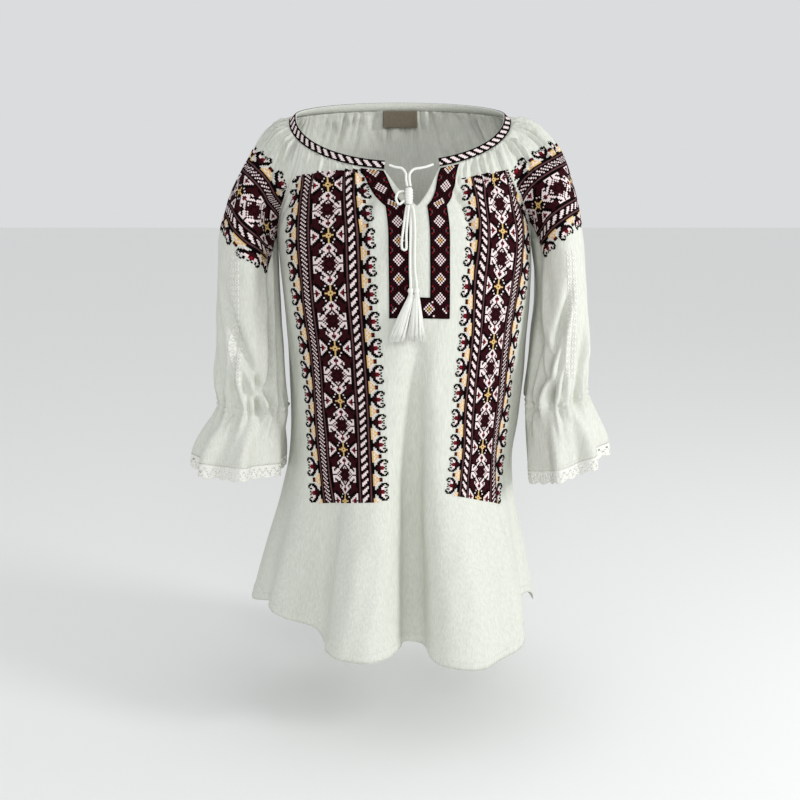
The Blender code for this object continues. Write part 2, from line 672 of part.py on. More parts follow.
def make_lace(side, name):
    count = 2 * SCALLOPS
    scallop = np.where(np.arange(count + 1) % 2 == 0, 1.0 - SCALLOP_DEPTH, 1.0)
    around = np.linspace(-1, 1, count + 1)
    length = LACE_FOOT - LACE_TOP
    top = LACE_TOP + 0.0012
    down = np.stack([np.full(count + 1, top), np.full(count + 1, top + length * 0.5),
                     LACE_TOP + length * scallop])
    across = np.broadcast_to(around, down.shape)
    outer, inner = sleeve_layers(side, across, down, np.zeros(down.shape))
    for layer in (outer, inner):
        layer[:, -1] = layer[:, 0]
    welds = [(row, 0, count) for row in range(3)]
    wall(name, outer, inner, WHITE_COTTON, None, welds)


def slit_angles():
    """Angles of the slit's two edges at the neckband."""
    return [panel_angles(np.array(side * SLIT_MOUTH), -1)[0] for side in (-1, 1)]


def make_neckband():
    first, second = slit_angles()
    angle = np.linspace(second, first + 360.0, BAND_STEPS + 1)
    angle = np.where(angle > 180.0, angle - 360.0, angle)
    up = band_up(angle)
    out = band_out(angle)
    centre = band_centre(angle)
    low = centre - up * BAND_HEIGHT / 2
    high = centre + up * BAND_HEIGHT / 2
    outer = np.stack([low, high]) + out * BAND_THICKNESS / 2
    inner = np.stack([low, high]) - out * BAND_THICKNESS / 2
    wall("neckband", outer, inner, BLACK_THREAD)


def down_for_height(z):
    """The place down the front's centre line at a height."""
    downs = np.linspace(0.0, 2.0, 401)
    heights = panel_base(0.1, downs, -1)[:, 2]
    return np.interp(-z, -heights, downs)


def make_placket():
    rows = [YOKE_ROWS[0] + 0.01] + YOKE_ROWS[1:] + [1.10]
    rows = rows + [down_for_height(PLACKET_BAR_TOP_Z), down_for_height(PLACKET_BAR_FOOT_Z)]
    down = np.array(rows)
    inner_edge = PLACKET_INNER_TOP + (PLACKET_INNER - PLACKET_INNER_TOP) * ease(down / SLIT_END)
    shares = []
    for distance in (inner_edge + PLACKET_WIDTH, inner_edge + PLACKET_WIDTH / 2, inner_edge):
        shares.append(across_share(distance, down))
    middle = np.zeros(down.shape)
    share = np.stack([-shares[0], -shares[1], -shares[2], middle, shares[2], shares[1], shares[0]], axis=1)
    deep = np.broadcast_to(down[:, None], share.shape)
    across = slit_across(share, deep)
    surface, inside = panel_layers(across, deep, -1, np.zeros(deep.shape))
    normal = unit(surface - inside)
    bar_row = len(rows) - 2
    under = surface + normal * PLACKET_LIFT
    wall("placket_band", under + normal * PLACKET_THICKNESS, under, GARNET_THREAD,
         lambda r, c: c in (2, 3) and r < bar_row)


def make_label():
    half = LABEL_WIDTH / 2
    x = np.linspace(-half, half, 5)
    drop = np.linspace(0.0, LABEL_HEIGHT, 3)
    angle = 180.0 - np.degrees(np.arcsin(x / BAND_HALF_WIDTH))
    top = neck_edge(angle) - vec(0.0, LABEL_CLEAR, 0.0)
    rows = np.stack([top + vec(0.0, 0.0, -distance) for distance in drop])
    wall("neck_label", rows, rows - vec(0.0, LABEL_THICKNESS, 0.0), LABEL_TAPE)


def front_at(x, z, lift):
    """A point this far in front of the cloth, at an x and a height near the centre."""
    place = np.array([x / 0.14, down_for_height(z)])
    for _ in range(8):
        here = panel_base(place[0], place[1], -1)
        step = 1e-4
        over = (panel_base(place[0] + step, place[1], -1) - here) / step
        along = (panel_base(place[0], place[1] + step, -1) - here) / step
        slope = np.array([[over[0], along[0]], [over[2], along[2]]])
        place = place + np.linalg.solve(slope, np.array([x - here[0], z - here[2]]))
        place[1] = max(place[1], 0.0)
    here = panel_base(place[0], place[1], -1)
    return Vector((x, here[1] - lift, z))


def through(points, step):
    """Even points along the smooth curve through a route's own points."""
    points = np.array(points, float)
    padded = np.concatenate([[2 * points[0] - points[1]], points, [2 * points[-1] - points[-2]]])
    fine = []
    for i in range(1, len(padded) - 2):
        before, start, end, after = padded[i - 1:i + 3]
        for t in np.linspace(0, 1, 12, endpoint=False):
            fine.append(0.5 * (2 * start + (end - before) * t
                               + (2 * before - 5 * start + 4 * end - after) * t ** 2
                               + (3 * start - before - 3 * end + after) * t ** 3))
    fine.append(points[-1])
    fine = np.array(fine)
    lengths = np.concatenate([[0.0], np.cumsum(np.linalg.norm(np.diff(fine, axis=0), axis=1))])
    count = max(3, int(round(lengths[-1] / step)) + 1)
    even = np.linspace(0.0, lengths[-1], count)
    return np.stack([np.interp(even, lengths, fine[:, k]) for k in range(3)], axis=1)


def route(name):
    points = [front_at(row["x"], row["z"], row["lift"]) for row in named(ROUTE_FIELDS, TIE_ROUTES[name])]
    if name.startswith("tail"):
        points.append(points[-1] - Vector((0.0, 0.0, TAIL_DROP)))
    return through(points, CORD * CORD_STEP)


def make_cord(name):
    points = route(name)
    curve = bpy.data.curves.new(name, "CURVE")
    curve.dimensions = "3D"
    curve.bevel_depth = CORD / 2
    curve.bevel_resolution = 2
    curve.use_fill_caps = True
    spline = curve.splines.new("POLY")
    spline.points.add(len(points) - 1)
    for target, point in zip(spline.points, points):
        target.co = (*point, 1.0)
    ob = bpy.data.objects.new(name, curve)
    bpy.context.scene.collection.objects.link(ob)
    paint(ob, WHITE_COTTON)
    return points


def make_knot():
    """A short fat roll of cord that leans with the cloth behind it."""
    bm = bmesh.new()
    x, z, lift = KNOT_CENTRE
    rings = []
    for height, width in KNOT_PROFILE:
        centre = front_at(x, z + height * KNOT_HALF[2], lift)
        angles = [2 * math.pi * k / KNOT_SIDES for k in range(KNOT_SIDES)]
        rings.append([bm.verts.new(centre + Vector((width * KNOT_HALF[0] * math.cos(a),
                                                    width * KNOT_HALF[1] * math.sin(a), 0.0)))
                      for a in angles])
    bm.faces.new(rings[0])
    bm.faces.new(rings[-1][::-1])
    for upper, lower in zip(rings, rings[1:]):
        for k in range(KNOT_SIDES):
            j = (k + 1) % KNOT_SIDES
            bm.faces.new([upper[k], upper[j], lower[j], lower[k]])
    add_object("bow_knot", bm, WHITE_COTTON)


def make_tassel(name, tail_end, lean, spread):
    """A bound head, and strands pulled out of the cells of its underside."""
    bm = bmesh.new()
    sides = TASSEL_SIDES
    head_foot = TASSEL_PROFILE[-1][1]
    rings = []
    for width, drop in TASSEL_PROFILE:
        rings.append([bm.verts.new(Vector((width * TASSEL_HEAD * math.cos(2 * math.pi * k / sides),
                                           width * TASSEL_HEAD * math.sin(2 * math.pi * k / sides), drop)))
                      for k in range(sides)])
    bm.faces.new(rings[0])
    for upper, lower in zip(rings, rings[1:]):
        for k in range(sides):
            j = (k + 1) % sides
            bm.faces.new([upper[k], upper[j], lower[j], lower[k]])
    inner = [bm.verts.new(Vector((v.co.x * TASSEL_HUB, v.co.y * TASSEL_HUB, head_foot))) for v in rings[-1]]
    hub = bm.verts.new(Vector((0.0, 0.0, head_foot)))
    cells = []
    for k in range(sides):
        j = (k + 1) % sides
        cells.append(bm.faces.new([rings[-1][k], rings[-1][j], inner[j], inner[k]]))
        cells.append(bm.faces.new([inner[k], inner[j], hub]))
    bmesh.ops.recalc_face_normals(bm, faces=bm.faces[:])
    bmesh.ops.inset_individual(bm, faces=cells, thickness=TASSEL_HEAD * STRAND_GAP)
    for number, cell in enumerate(cells):
        root = cell.calc_center_median()
        reach = TASSEL_LENGTH * (1 - STRAND_UNEVEN + STRAND_UNEVEN * math.cos(2.4 * number))
        face = cell
        for share in STRAND_STOPS:
            out = bmesh.ops.extrude_discrete_faces(bm, faces=[face])["faces"][0]
            opened = spread * share ** 0.8 / TASSEL_HEAD
            place = Vector((root.x * (1 + opened) + lean * reach * share,
                            root.y * (1 + opened * 0.22) - TASSEL_FORWARD * reach * share,
                            head_foot - reach * share))
            shift = place - out.calc_center_median()
            for vert in out.verts:
                vert.co += shift
            face = out
    for vert in bm.verts:
        vert.co += Vector(tail_end)
    add_object(name, bm, WHITE_COTTON)


def main():
    for ob in list(bpy.data.objects):
        bpy.data.objects.remove(ob)
    make_front()
    make_back()
    make_sleeve(-1, "sleeve_right")
    make_sleeve(1, "sleeve_left")
    make_lace(-1, "lace_right")
    make_lace(1, "lace_left")
    make_neckband()
    make_placket()
    make_label()
    ends = {name: make_cord(name)[-1] for name in TIE_ROUTES}
    make_knot()
    for name, tassel in TASSELS.items():
        seat = Vector(ends[tassel["tail"]]) - Vector((0.0, 0.0, SEAM_GAP))
        make_tassel(name, seat, tassel["lean"], tassel["spread"])


main()
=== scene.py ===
# %% [markdown]
# # A gathered folk blouse
# The blouse is ivory cotton gauze, drawn into a narrow embroidered neckband. It
# has raglan sleeves with shirred, flounced and laced cuffs, two tall cross-stitch
# bands in front, one round each upper arm, and a tasselled tie at the slit.
# The CAD solids hold its shape. This lesson dresses them: finer cloth with its
# gathers and folds, every stitch of the embroidery, openwork lace, and cords.

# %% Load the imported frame
import math

import bpy
import numpy as np
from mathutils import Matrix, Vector


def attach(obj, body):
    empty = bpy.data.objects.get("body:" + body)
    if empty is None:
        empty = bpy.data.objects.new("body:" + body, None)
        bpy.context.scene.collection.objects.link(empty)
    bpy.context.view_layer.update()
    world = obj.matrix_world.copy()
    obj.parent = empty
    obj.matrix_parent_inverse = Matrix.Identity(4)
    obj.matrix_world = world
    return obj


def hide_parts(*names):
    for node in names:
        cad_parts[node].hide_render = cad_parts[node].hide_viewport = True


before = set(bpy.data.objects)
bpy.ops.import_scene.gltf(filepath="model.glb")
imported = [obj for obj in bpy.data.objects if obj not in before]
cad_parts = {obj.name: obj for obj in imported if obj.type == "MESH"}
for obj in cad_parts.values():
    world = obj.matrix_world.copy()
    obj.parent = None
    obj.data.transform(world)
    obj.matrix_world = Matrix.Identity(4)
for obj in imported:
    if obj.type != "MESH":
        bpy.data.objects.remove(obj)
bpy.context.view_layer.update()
print("CAD nodes:", ", ".join(sorted(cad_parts)))

# %% [markdown]
# ## Small helpers
# Cloth is easiest to shape as a function from two numbers, across and down, to a
# point. numpy works out a whole grid of such points at once, so these helpers all
# take arrays. A table's rows get their columns by name.

# %% Helpers for curves and directions
MM = 0.001


def ease(t):
    """0 to 1, with no slope at either end."""
    t = np.clip(t, 0.0, 1.0)
    return t * t * (3.0 - 2.0 * t)


def vec(x, y, z):
    """Three arrays, or numbers, as one array of points."""
    return np.stack(np.broadcast_arrays(*[np.asarray(v, float) for v in (x, y, z)]), axis=-1)


def unit(v):
    return v / np.maximum(np.linalg.norm(v, axis=-1, keepdims=True), 1e-12)


def hermite(start, start_pull, end, end_pull, t):
    """The curve from start to end that leaves and arrives along the pulls."""
    t = np.asarray(t, float)[..., None]
    first = (2 * t ** 3 - 3 * t ** 2 + 1) * start + (t ** 3 - 2 * t ** 2 + t) * start_pull
    return first + (3 * t ** 2 - 2 * t ** 3) * end + (t ** 3 - t ** 2) * end_pull


# %% Helpers for paths and tables
def run_along(points):
    """The length of a path from its start to each of its points."""
    return np.concatenate([[0.0], np.cumsum(np.linalg.norm(np.diff(points, axis=0), axis=1))])


def even_points(points, run, places):
    """The points of a path at these lengths along it."""
    return np.stack([np.interp(places, run, points[:, k]) for k in range(points.shape[1])], -1)


def row_at(down, rows):
    """The fractional row of a grid at a place down the cloth."""
    return np.interp(down, rows, np.arange(len(rows)))


def named(fields, rows):
    """A table's rows with their columns by name."""
    return [dict(zip(fields, row)) for row in rows]


def smooth(fields, rows, name, at):
    """A table's column as a smooth curve over its first column."""
    keys = np.array([row[0] for row in rows], float)
    values = np.array([row[fields.index(name)] for row in rows], float)
    if keys[0] > keys[-1]:
        keys, values = keys[::-1], values[::-1]
    slopes = np.gradient(values, keys)
    at = np.clip(at, keys[0], keys[-1])
    cell = np.clip(np.searchsorted(keys, at, side="right") - 1, 0, len(keys) - 2)
    span = keys[cell + 1] - keys[cell]
    t = (at - keys[cell]) / span
    start = (2 * t ** 3 - 3 * t ** 2 + 1) * values[cell] + (t ** 3 - 2 * t ** 2 + t) * span * slopes[cell]
    end = (3 * t ** 2 - 2 * t ** 3) * values[cell + 1] + (t ** 3 - t ** 2) * span * slopes[cell + 1]
    return start + end


def bump(at, middle, half_width):
    """A smooth hill of height 1."""
    return np.exp(-((at - middle) / half_width) ** 2)


# %% [markdown]
# ## Camera, light and stage
# A key light from the wearer's left makes the folds read as greys. A broad weak
# light from the other side, one from the front and a bright even surround keep
# the shadows pale. The camera stands 1.4 m away at the height of the neckline and
# looks down by about 11 degrees, with a slightly long lens.

# %% Camera
PHOTO_SIDE = 800
LENS_PIXELS = 1134.0
SENSOR_MM = 36.0
CAMERA_DISTANCE = 1.38
CAMERA_Z = -0.061
CAMERA_TILT = 11.46

camera = bpy.data.objects.new("camera", bpy.data.cameras.new("camera"))
camera.data.sensor_width = SENSOR_MM
camera.data.lens = LENS_PIXELS / PHOTO_SIDE * SENSOR_MM
camera.location = (0.0, -CAMERA_DISTANCE, CAMERA_Z)
camera.rotation_euler = (math.radians(90.0 - CAMERA_TILT), 0.0, 0.0)
bpy.context.scene.collection.objects.link(camera)
bpy.context.scene.camera = camera
bpy.context.scene.view_settings.view_transform = "Standard"
print("lens", round(camera.data.lens, 2), "mm")


# %% Lights and surround
def area_light(name, place, target, size, watts):
    light = bpy.data.lights.new(name, "AREA")
    light.shape = "SQUARE"
    light.size = size
    light.energy = watts
    ob = bpy.data.objects.new(name, light)
    ob.location = place
    ob.rotation_euler = (Vector(target) - Vector(place)).to_track_quat("-Z", "Y").to_euler()
    bpy.context.scene.collection.objects.link(ob)


MIDDLE = (0.0, 0.0, -0.30)
area_light("key_light", (2.0, -0.95, 0.35), MIDDLE, 0.5, 23.0)
area_light("fill_light", (-1.6, -1.6, 0.2), MIDDLE, 1.4, 2.0)
area_light("front_light", (0.3, -2.6, 0.7), MIDDLE, 0.8, 11.0)

surround = bpy.data.worlds.new("studio_surround")
bpy.context.scene.world = surround
surround.use_nodes = True
surround.node_tree.nodes["Background"].inputs["Color"].default_value = (0.97, 0.98, 1.0, 1.0)
surround.node_tree.nodes["Background"].inputs["Strength"].default_value = 0.73

# %% Floor
FLOOR_Z = -0.72
FLOOR_HALF = 12.0
floor_mesh = bpy.data.meshes.new("studio_floor")
floor_corners = [(FLOOR_HALF * x, FLOOR_HALF * y, FLOOR_Z) for x, y in ((-1, -1), (1, -1), (1, 1), (-1, 1))]
floor_mesh.from_pydata(floor_corners, [], [(0, 1, 2, 3)])
floor = bpy.data.objects.new("studio_floor", floor_mesh)
bpy.context.scene.collection.objects.link(floor)


# %% [markdown]
# ## Materials
# Each material starts from what the real one is. Gauze is matt: its fine yarns
# scatter light, and its crinkle shows as short shadows. Embroidery cotton has a
# low gloss along the yarn. A noise texture stretched along the yarns gives the
# slubs, and a bump node gives relief without more faces.

# %% Node helper and colours
def linear(hex_colour):
    """An sRGB hex colour as linear RGBA."""
    values = [int(hex_colour[i:i + 2], 16) / 255.0 for i in (1, 3, 5)]
    return (*[v / 12.92 if v <= 0.04045 else ((v + 0.055) / 1.055) ** 2.4 for v in values], 1.0)


def add(material, kind, settings=(), inputs=(), links=()):
    """Add one node with its settings, input values and links from other nodes."""
    node = material.node_tree.nodes.new(kind)
    for name, value in dict(settings).items():
        setattr(node, name, value)
    for name, value in dict(inputs).items():
        node.inputs[name].default_value = value
    for name, source in dict(links).items():
        material.node_tree.links.new(source, node.inputs[name])
    return node


def new_material(name, roughness, gloss=0.25):
    material = bpy.data.materials.new(name)
    material.use_nodes = True
    shader = material.node_tree.nodes["Principled BSDF"]
    shader.inputs["Roughness"].default_value = roughness
    shader.inputs["Specular IOR Level"].default_value = gloss
    return material, shader


def two_tone(material, shader, factor, low, high):
    """Mix two colours by a factor into the base colour."""
    mix = add(material, "ShaderNodeMix", {"data_type": "RGBA"})
    mix.inputs["A"].default_value = linear(low)
    mix.inputs["B"].default_value = linear(high)
    material.node_tree.links.new(factor, mix.inputs["Factor"])
    material.node_tree.links.new(mix.outputs["Result"], shader.inputs["Base Color"])


def add_relief(material, shader, height, strength, distance):
    """Bump the surface by a height."""
    lift = add(material, "ShaderNodeBump", {}, {"Strength": strength, "Distance": distance},
               {"Height": height})
    material.node_tree.links.new(lift.outputs["Normal"], shader.inputs["Normal"])


# %% Cotton gauze
# The real yarns stand about 0.5 mm apart, which is too fine for the picture, so
# the slubs are drawn 1.6 mm wide and 12 mm long, and the crinkle 3 mm wide.
SLUB_WIDTH = 1.6 * MM
SLUB_LENGTH = 12.0 * MM
CRINKLE = 3.0 * MM
GAUZE_BUMP = 0.6 * MM


def stretched_noise(material, size, detail):
    """Noise whose grains have this size along X, Y and Z."""
    place = add(material, "ShaderNodeTexCoord")
    scale = add(material, "ShaderNodeMapping", {}, {"Scale": tuple(1.0 / s for s in size)},
                {"Vector": place.outputs["Object"]})
    return add(material, "ShaderNodeTexNoise", {}, {"Scale": 1.0, "Detail": detail},
               {"Vector": scale.outputs["Vector"]}).outputs["Fac"]


def gauze(name, low, high, relief):
    material, shader = new_material(name, 0.92)
    warp = stretched_noise(material, (SLUB_WIDTH, SLUB_WIDTH, SLUB_LENGTH), 2.0)
    weft = stretched_noise(material, (SLUB_LENGTH, SLUB_LENGTH, SLUB_WIDTH), 2.0)
    crinkle = stretched_noise(material, (CRINKLE, CRINKLE, CRINKLE * 2.5), 3.0)
    yarns = add(material, "ShaderNodeMath", {"operation": "MULTIPLY_ADD"}, {1: 0.5},
                {0: warp, 2: weft}).outputs[0]
    height = add(material, "ShaderNodeMath", {"operation": "ADD"}, {}, {0: yarns, 1: crinkle}).outputs[0]
    tone = add(material, "ShaderNodeMapRange", {}, {"From Min": 0.2, "From Max": 0.8},
               {"Value": warp}).outputs["Result"]
    two_tone(material, shader, tone, low, high)
    add_relief(material, shader, height, relief, GAUZE_BUMP)
    return material


GAUZE = gauze("crinkled_cotton_gauze", "#C9CBC1", "#DDDFD6", 0.7)

# %% Threads, lace and tape
# Embroidery cotton is spun and mercerised, so it shines a little. The grain of
# the bump is one yarn, 0.35 mm, and the tone changes from stitch to stitch.
YARN = 0.35 * MM
THREAD_BUMP = 0.3 * MM


def thread(name, low, high, roughness=0.80, grain=YARN, relief=0.35, gloss=0.12):
    material, shader = new_material(name, roughness, gloss)
    tone = stretched_noise(material, (4 * grain, 4 * grain, 4 * grain), 2.0)
    two_tone(material, shader, tone, low, high)
    fine = stretched_noise(material, (grain, grain, grain), 1.0)
    add_relief(material, shader, fine, relief, THREAD_BUMP)
    return material


THREADS = {
    "k": thread("black_embroidery_cotton", "#020101", "#0C0506", 0.95, YARN, 0.35, 0.06),
    "g": thread("garnet_embroidery_cotton", "#1C0308", "#3A0710", 0.9),
    "r": thread("red_embroidery_cotton", "#6C0914", "#921524", 0.9),
    "w": thread("rose_white_embroidery_cotton", "#E2CACC", "#F7ECEA"),
    "y": thread("gold_embroidery_cotton", "#CDA661", "#E8CD91"),
    "m": thread("mauve_embroidery_cotton", "#44262B", "#6C484B"),
}
CORD_COTTON = thread("twisted_white_cotton_cord", "#E2E3DC", "#F4F5F0", 0.85, YARN, 0.5, 0.2)
LACE_COTTON = thread("crocheted_white_cotton", "#D8D9D0", "#ECEDE6", 0.9, 0.6 * MM, 0.6, 0.2)
floor_paper, floor_shader = new_material("pale_studio_paper", 0.95, 0.1)
floor_shader.inputs["Base Color"].default_value = linear("#F4F5F3")
floor_mesh.materials.append(floor_paper)
LABEL_TAPE = thread("woven_label_tape", "#5E574A", "#7E7564", 0.85, 0.5 * MM, 0.4, 0.2)
print("materials:", len(bpy.data.materials))

# %% [markdown]
# ## Making pieces
# Every piece is a mesh of points and faces worked out in numpy. A cloth wall is
# two grids, one for each face of the cloth, joined along their open edges. Cells
# of the grid can be left out, which is how the slit and the lace's holes are cut,
# and columns can be welded, which closes a sleeve into a tube.

# %% Mesh helpers
PIECES = {}


def add_piece(name, points, faces, materials, index=None):
    """A mesh piece that rides on the blouse, smooth shaded."""
    mesh = bpy.data.meshes.new(name)
    mesh.from_pydata([tuple(p) for p in points], [], faces)
    for material in materials:
        mesh.materials.append(material)
    if index is not None:
        mesh.polygons.foreach_set("material_index", np.asarray(index, np.int32))
    mesh.polygons.foreach_set("use_smooth", np.ones(len(mesh.polygons), bool))
    mesh.update()
    ob = bpy.data.objects.new(name, mesh)
    bpy.context.scene.collection.objects.link(ob)
    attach(ob, "root")
    PIECES[name] = ob
    triangles = sum(len(face) - 2 for face in faces)
    print(f"{name}: {len(points)} points, {triangles} triangles")
    return ob


# %% Cloth walls
def wall(name, outer, inner, material, keep=None, weld_rows=(), weld=(0, 0)):
    """A closed wall between two grids of points. keep marks the cells that stay;
    in weld_rows the second column of weld is the first one's."""
    rows, columns = outer.shape[:2]
    number = np.arange(rows * columns).reshape(rows, columns)
    for row in weld_rows:
        number[row, weld[1]] = number[row, weld[0]]
    keep = np.ones((rows - 1, columns - 1), bool) if keep is None else keep
    cells = np.stack([number[:-1, :-1], number[:-1, 1:], number[1:, 1:], number[1:, :-1]], -1)[keep]
    edges = np.concatenate([cells[:, [k, (k + 1) % 4]] for k in range(4)])
    key = np.sort(edges, axis=1)
    first, count = np.unique(key[:, 0] * rows * columns + key[:, 1], return_index=True,
                             return_counts=True)[1:]
    rim = edges[first[count == 1]]
    total = rows * columns
    top = [tuple(cell) for cell in cells[:, ::-1].tolist()]
    under = [tuple(cell) for cell in (cells + total).tolist()]
    sides = [(a, b, b + total, a + total) for a, b in rim.tolist()]
    points = np.concatenate([outer.reshape(-1, 3), inner.reshape(-1, 3)])
    used = np.unique(np.concatenate([cells.ravel(), cells.ravel() + total]))
    renumber = np.zeros(2 * total, int)
    renumber[used] = np.arange(len(used))
    faces = [tuple(renumber[list(face)].tolist()) for face in top + under + sides]
    return add_piece(name, points[used], faces, [material])


# %% [markdown]
# ## The neckband's line and the body's form
# The cloth hangs from a neckband that dips in front. Below it each panel leaves
# the band along its own direction and arrives at the chest, and from there down
# the body is a stack of sections, narrow at the waist and wide at the hem. These
# are the same values as the CAD source's, so the looks sit where the solids are.

# %% Sizes shared with the solids
SEAM_GAP = 0.3 * MM
ARMPIT_Z = -0.138
SIDE_SEAM_Y = -0.005
BAND_HALF_WIDTH = 0.1265
BAND_FRONT = 0.090
BAND_BACK = 0.075
BAND_FRONT_DROP = 0.056
BAND_BACK_RISE = 0.016
BAND_HEIGHT = 0.010
BAND_THICKNESS = 2.6 * MM
CENTRE_TURN_NECK = 6.5
CENTRE_TURN_BODY = 8.0
FRONT_RAGLAN = 62.0
BACK_RAGLAN = 122.0
SLIT_MOUTH = 0.225
SLIT_END = 0.55
PLACKET_INNER_TOP = 2.0 * MM
PLACKET_INNER = 11.5 * MM
PLACKET_REACH = 25.0 * MM
HEM_Z = -0.606

BODY_FIELDS = ("z", "minus_x", "plus_x", "front", "back")
BODY_SECTIONS = [
    (-0.138, 0.1470, 0.1570, 0.117, 0.098),
    (-0.200, 0.1415, 0.1575, 0.127, 0.101),
    (-0.270, 0.1365, 0.1530, 0.125, 0.096),
    (-0.350, 0.1345, 0.1470, 0.120, 0.089),
    (-0.410, 0.1385, 0.1395, 0.122, 0.090),
    (-0.460, 0.1500, 0.1430, 0.131, 0.098),
    (-0.520, 0.1685, 0.1570, 0.149, 0.116),
    (-0.606, 0.1930, 0.1715, 0.180, 0.146),
]
FOLD_FIELDS = ("middle", "half_width", "depth", "start_z")
FRONT_FOLDS = [
    (-0.040, 0.080, -0.042, -0.235),
    (-0.240, 0.120, 0.012, -0.330),
    (0.210, 0.130, 0.026, -0.300),
    (-0.500, 0.095, -0.032, -0.380),
    (-0.640, 0.080, 0.006, -0.420),
    (-0.780, 0.070, -0.011, -0.430),
    (0.470, 0.130, 0.020, -0.360),
    (0.740, 0.090, -0.010, -0.400),
]
BACK_FOLDS = [
    (-0.700, 0.100, -0.012, -0.400),
    (-0.420, 0.120, 0.014, -0.340),
    (-0.150, 0.100, -0.022, -0.300),
    (0.120, 0.130, 0.016, -0.320),
    (0.400, 0.100, -0.018, -0.360),
    (0.680, 0.110, 0.010, -0.400),
]
LIFT_FIELDS = ("middle", "half_width", "lift")
HEM_LIFTS = [
    (-0.700, 0.200, 0.026),
    (-0.045, 0.070, 0.006),
    (0.300, 0.220, -0.011),
    (0.800, 0.230, 0.030),
]
HEM_SIDE_LIFTS = {-1: 0.018, 1: 0.006}


# %% The neckband's line
def band_centre(angle):
    """The middle of the neckband's height, at an angle round the neck in degrees."""
    a = np.radians(angle)
    front = np.maximum(np.cos(a), 0.0)
    back = np.maximum(-np.cos(a), 0.0)
    return vec(BAND_HALF_WIDTH * np.sin(a), BAND_BACK * back - BAND_FRONT * front,
               BAND_BACK_RISE * back - BAND_FRONT_DROP * front)


def band_up(angle):
    """The direction from the neckband's lower edge to its upper edge."""
    a = np.radians(angle)
    side = np.sin(a) ** 2
    lean = np.where(np.cos(a) > 0, 0.45, 0.30) * (1 - side) + 1.10 * side
    return unit(vec(-lean * np.sin(a), lean * np.cos(a), 1.0))


def band_out(angle):
    """The direction in which the neckband's outer face looks."""
    along = unit(band_centre(np.asarray(angle) + 0.5) - band_centre(np.asarray(angle) - 0.5))
    across = np.cross(band_up(angle), along)
    plan = band_centre(angle) * np.array([1.0, 1.0, 0.0])
    return unit(across * np.sign(np.sum(across * plan, axis=-1, keepdims=True)))


def neck_edge(angle):
    """Where cloth is sewn to the neckband."""
    return band_centre(angle) - band_up(angle) * (BAND_HEIGHT / 2 + SEAM_GAP)


# %% The body's sections, seams and hem
def body_point(angle, z):
    """The body's plain section at an angle from the front centre."""
    sine = np.sin(np.radians(angle))
    cosine = np.cos(np.radians(angle))
    half = np.where(sine < 0, smooth(BODY_FIELDS, BODY_SECTIONS, "minus_x", z),
                    smooth(BODY_FIELDS, BODY_SECTIONS, "plus_x", z))
    depth = np.where(cosine > 0, smooth(BODY_FIELDS, BODY_SECTIONS, "front", z),
                     smooth(BODY_FIELDS, BODY_SECTIONS, "back", z))
    return vec(half * sine, SIDE_SEAM_Y - (depth + SIDE_SEAM_Y) * cosine, z)


def armpit(side):
    return body_point(90.0 * side, ARMPIT_Z)


def seam_pulls(side, face):
    """How a raglan seam leaves the neckband and reaches the armpit."""
    if face < 0:
        return vec(0.010 * side, -0.078, -0.108), vec(0.008 * side, 0.062, -0.100)
    return vec(0.030 * side, 0.062, -0.105), vec(0.008 * side, -0.060, -0.100)


def hem_height(across, face):
    """The hem rises towards the side seams, and unevenly along the front."""
    height = HEM_Z + np.where(across < 0, HEM_SIDE_LIFTS[-1], HEM_SIDE_LIFTS[1]) * np.abs(across) ** 4
    if face < 0:
        calm = 1.0 - np.abs(across) ** 12
        for row in named(LIFT_FIELDS, HEM_LIFTS):
            height = height + row["lift"] * calm * bump(across, row["middle"], row["half_width"])
    return height


def panel_angles(across, face):
    """Angles at the neck and at the body for a place across the front or back."""
    if face < 0:
        turn = 1.0 - across ** 2
        return (CENTRE_TURN_NECK * turn + FRONT_RAGLAN * across,
                CENTRE_TURN_BODY * turn + 90.0 * across)
    return 180.0 - (180.0 - BACK_RAGLAN) * across, 180.0 - 90.0 * across


# %% A panel as a function
def panel_base(across, down, face):
    """A front (face -1) or back (face 1) panel with its long folds only."""
    across, down = np.broadcast_arrays(np.asarray(across, float), np.asarray(down, float))
    neck, round_body = panel_angles(across, face)
    side = np.sign(across)
    near_seam = np.abs(across)[..., None] ** 2
    at_seam = np.abs(across)[..., None] ** 10
    seam_start, seam_end = seam_pulls(side, face)
    start_pull = vec(0.0, 0.035 * face, -0.075) * (1 - near_seam) + seam_start * near_seam
    end_pull = vec(0.0, 0.030 * face * (1 - near_seam[..., 0]), -0.100) * (1 - at_seam)
    end_pull = end_pull + seam_end * at_seam
    chest = body_point(round_body, ARMPIT_Z)
    yoke = hermite(neck_edge(neck), start_pull, chest, end_pull, np.clip(down, 0.0, 1.0))
    z = ARMPIT_Z + (hem_height(across, face) - ARMPIT_Z) * (np.maximum(down, 1.0) - 1.0)
    lower = body_point(round_body, z)
    outward = unit(lower * np.array([1.0, 1.0, 0.0]))
    push = np.zeros(across.shape)
    for fold in named(FOLD_FIELDS, FRONT_FOLDS if face < 0 else BACK_FOLDS):
        grow = ease((fold["start_z"] - z) / (fold["start_z"] - HEM_Z)) ** 0.9
        push = push + fold["depth"] * grow * bump(across, fold["middle"], fold["half_width"])
    lower = lower + outward * (push * (1.0 - np.abs(across) ** 12))[..., None]
    return np.where((down > 1.0)[..., None], lower, yoke)


# %% Places beside the slit
def slit_across(half, down):
    """Place across the front for a share of a half panel; the slit pushes it aside."""
    mouth = SLIT_MOUTH * np.clip(1.0 - np.asarray(down, float) / SLIT_END, 0.0, 1.0)
    return np.sign(half) * (mouth + np.abs(half) * (1.0 - mouth))


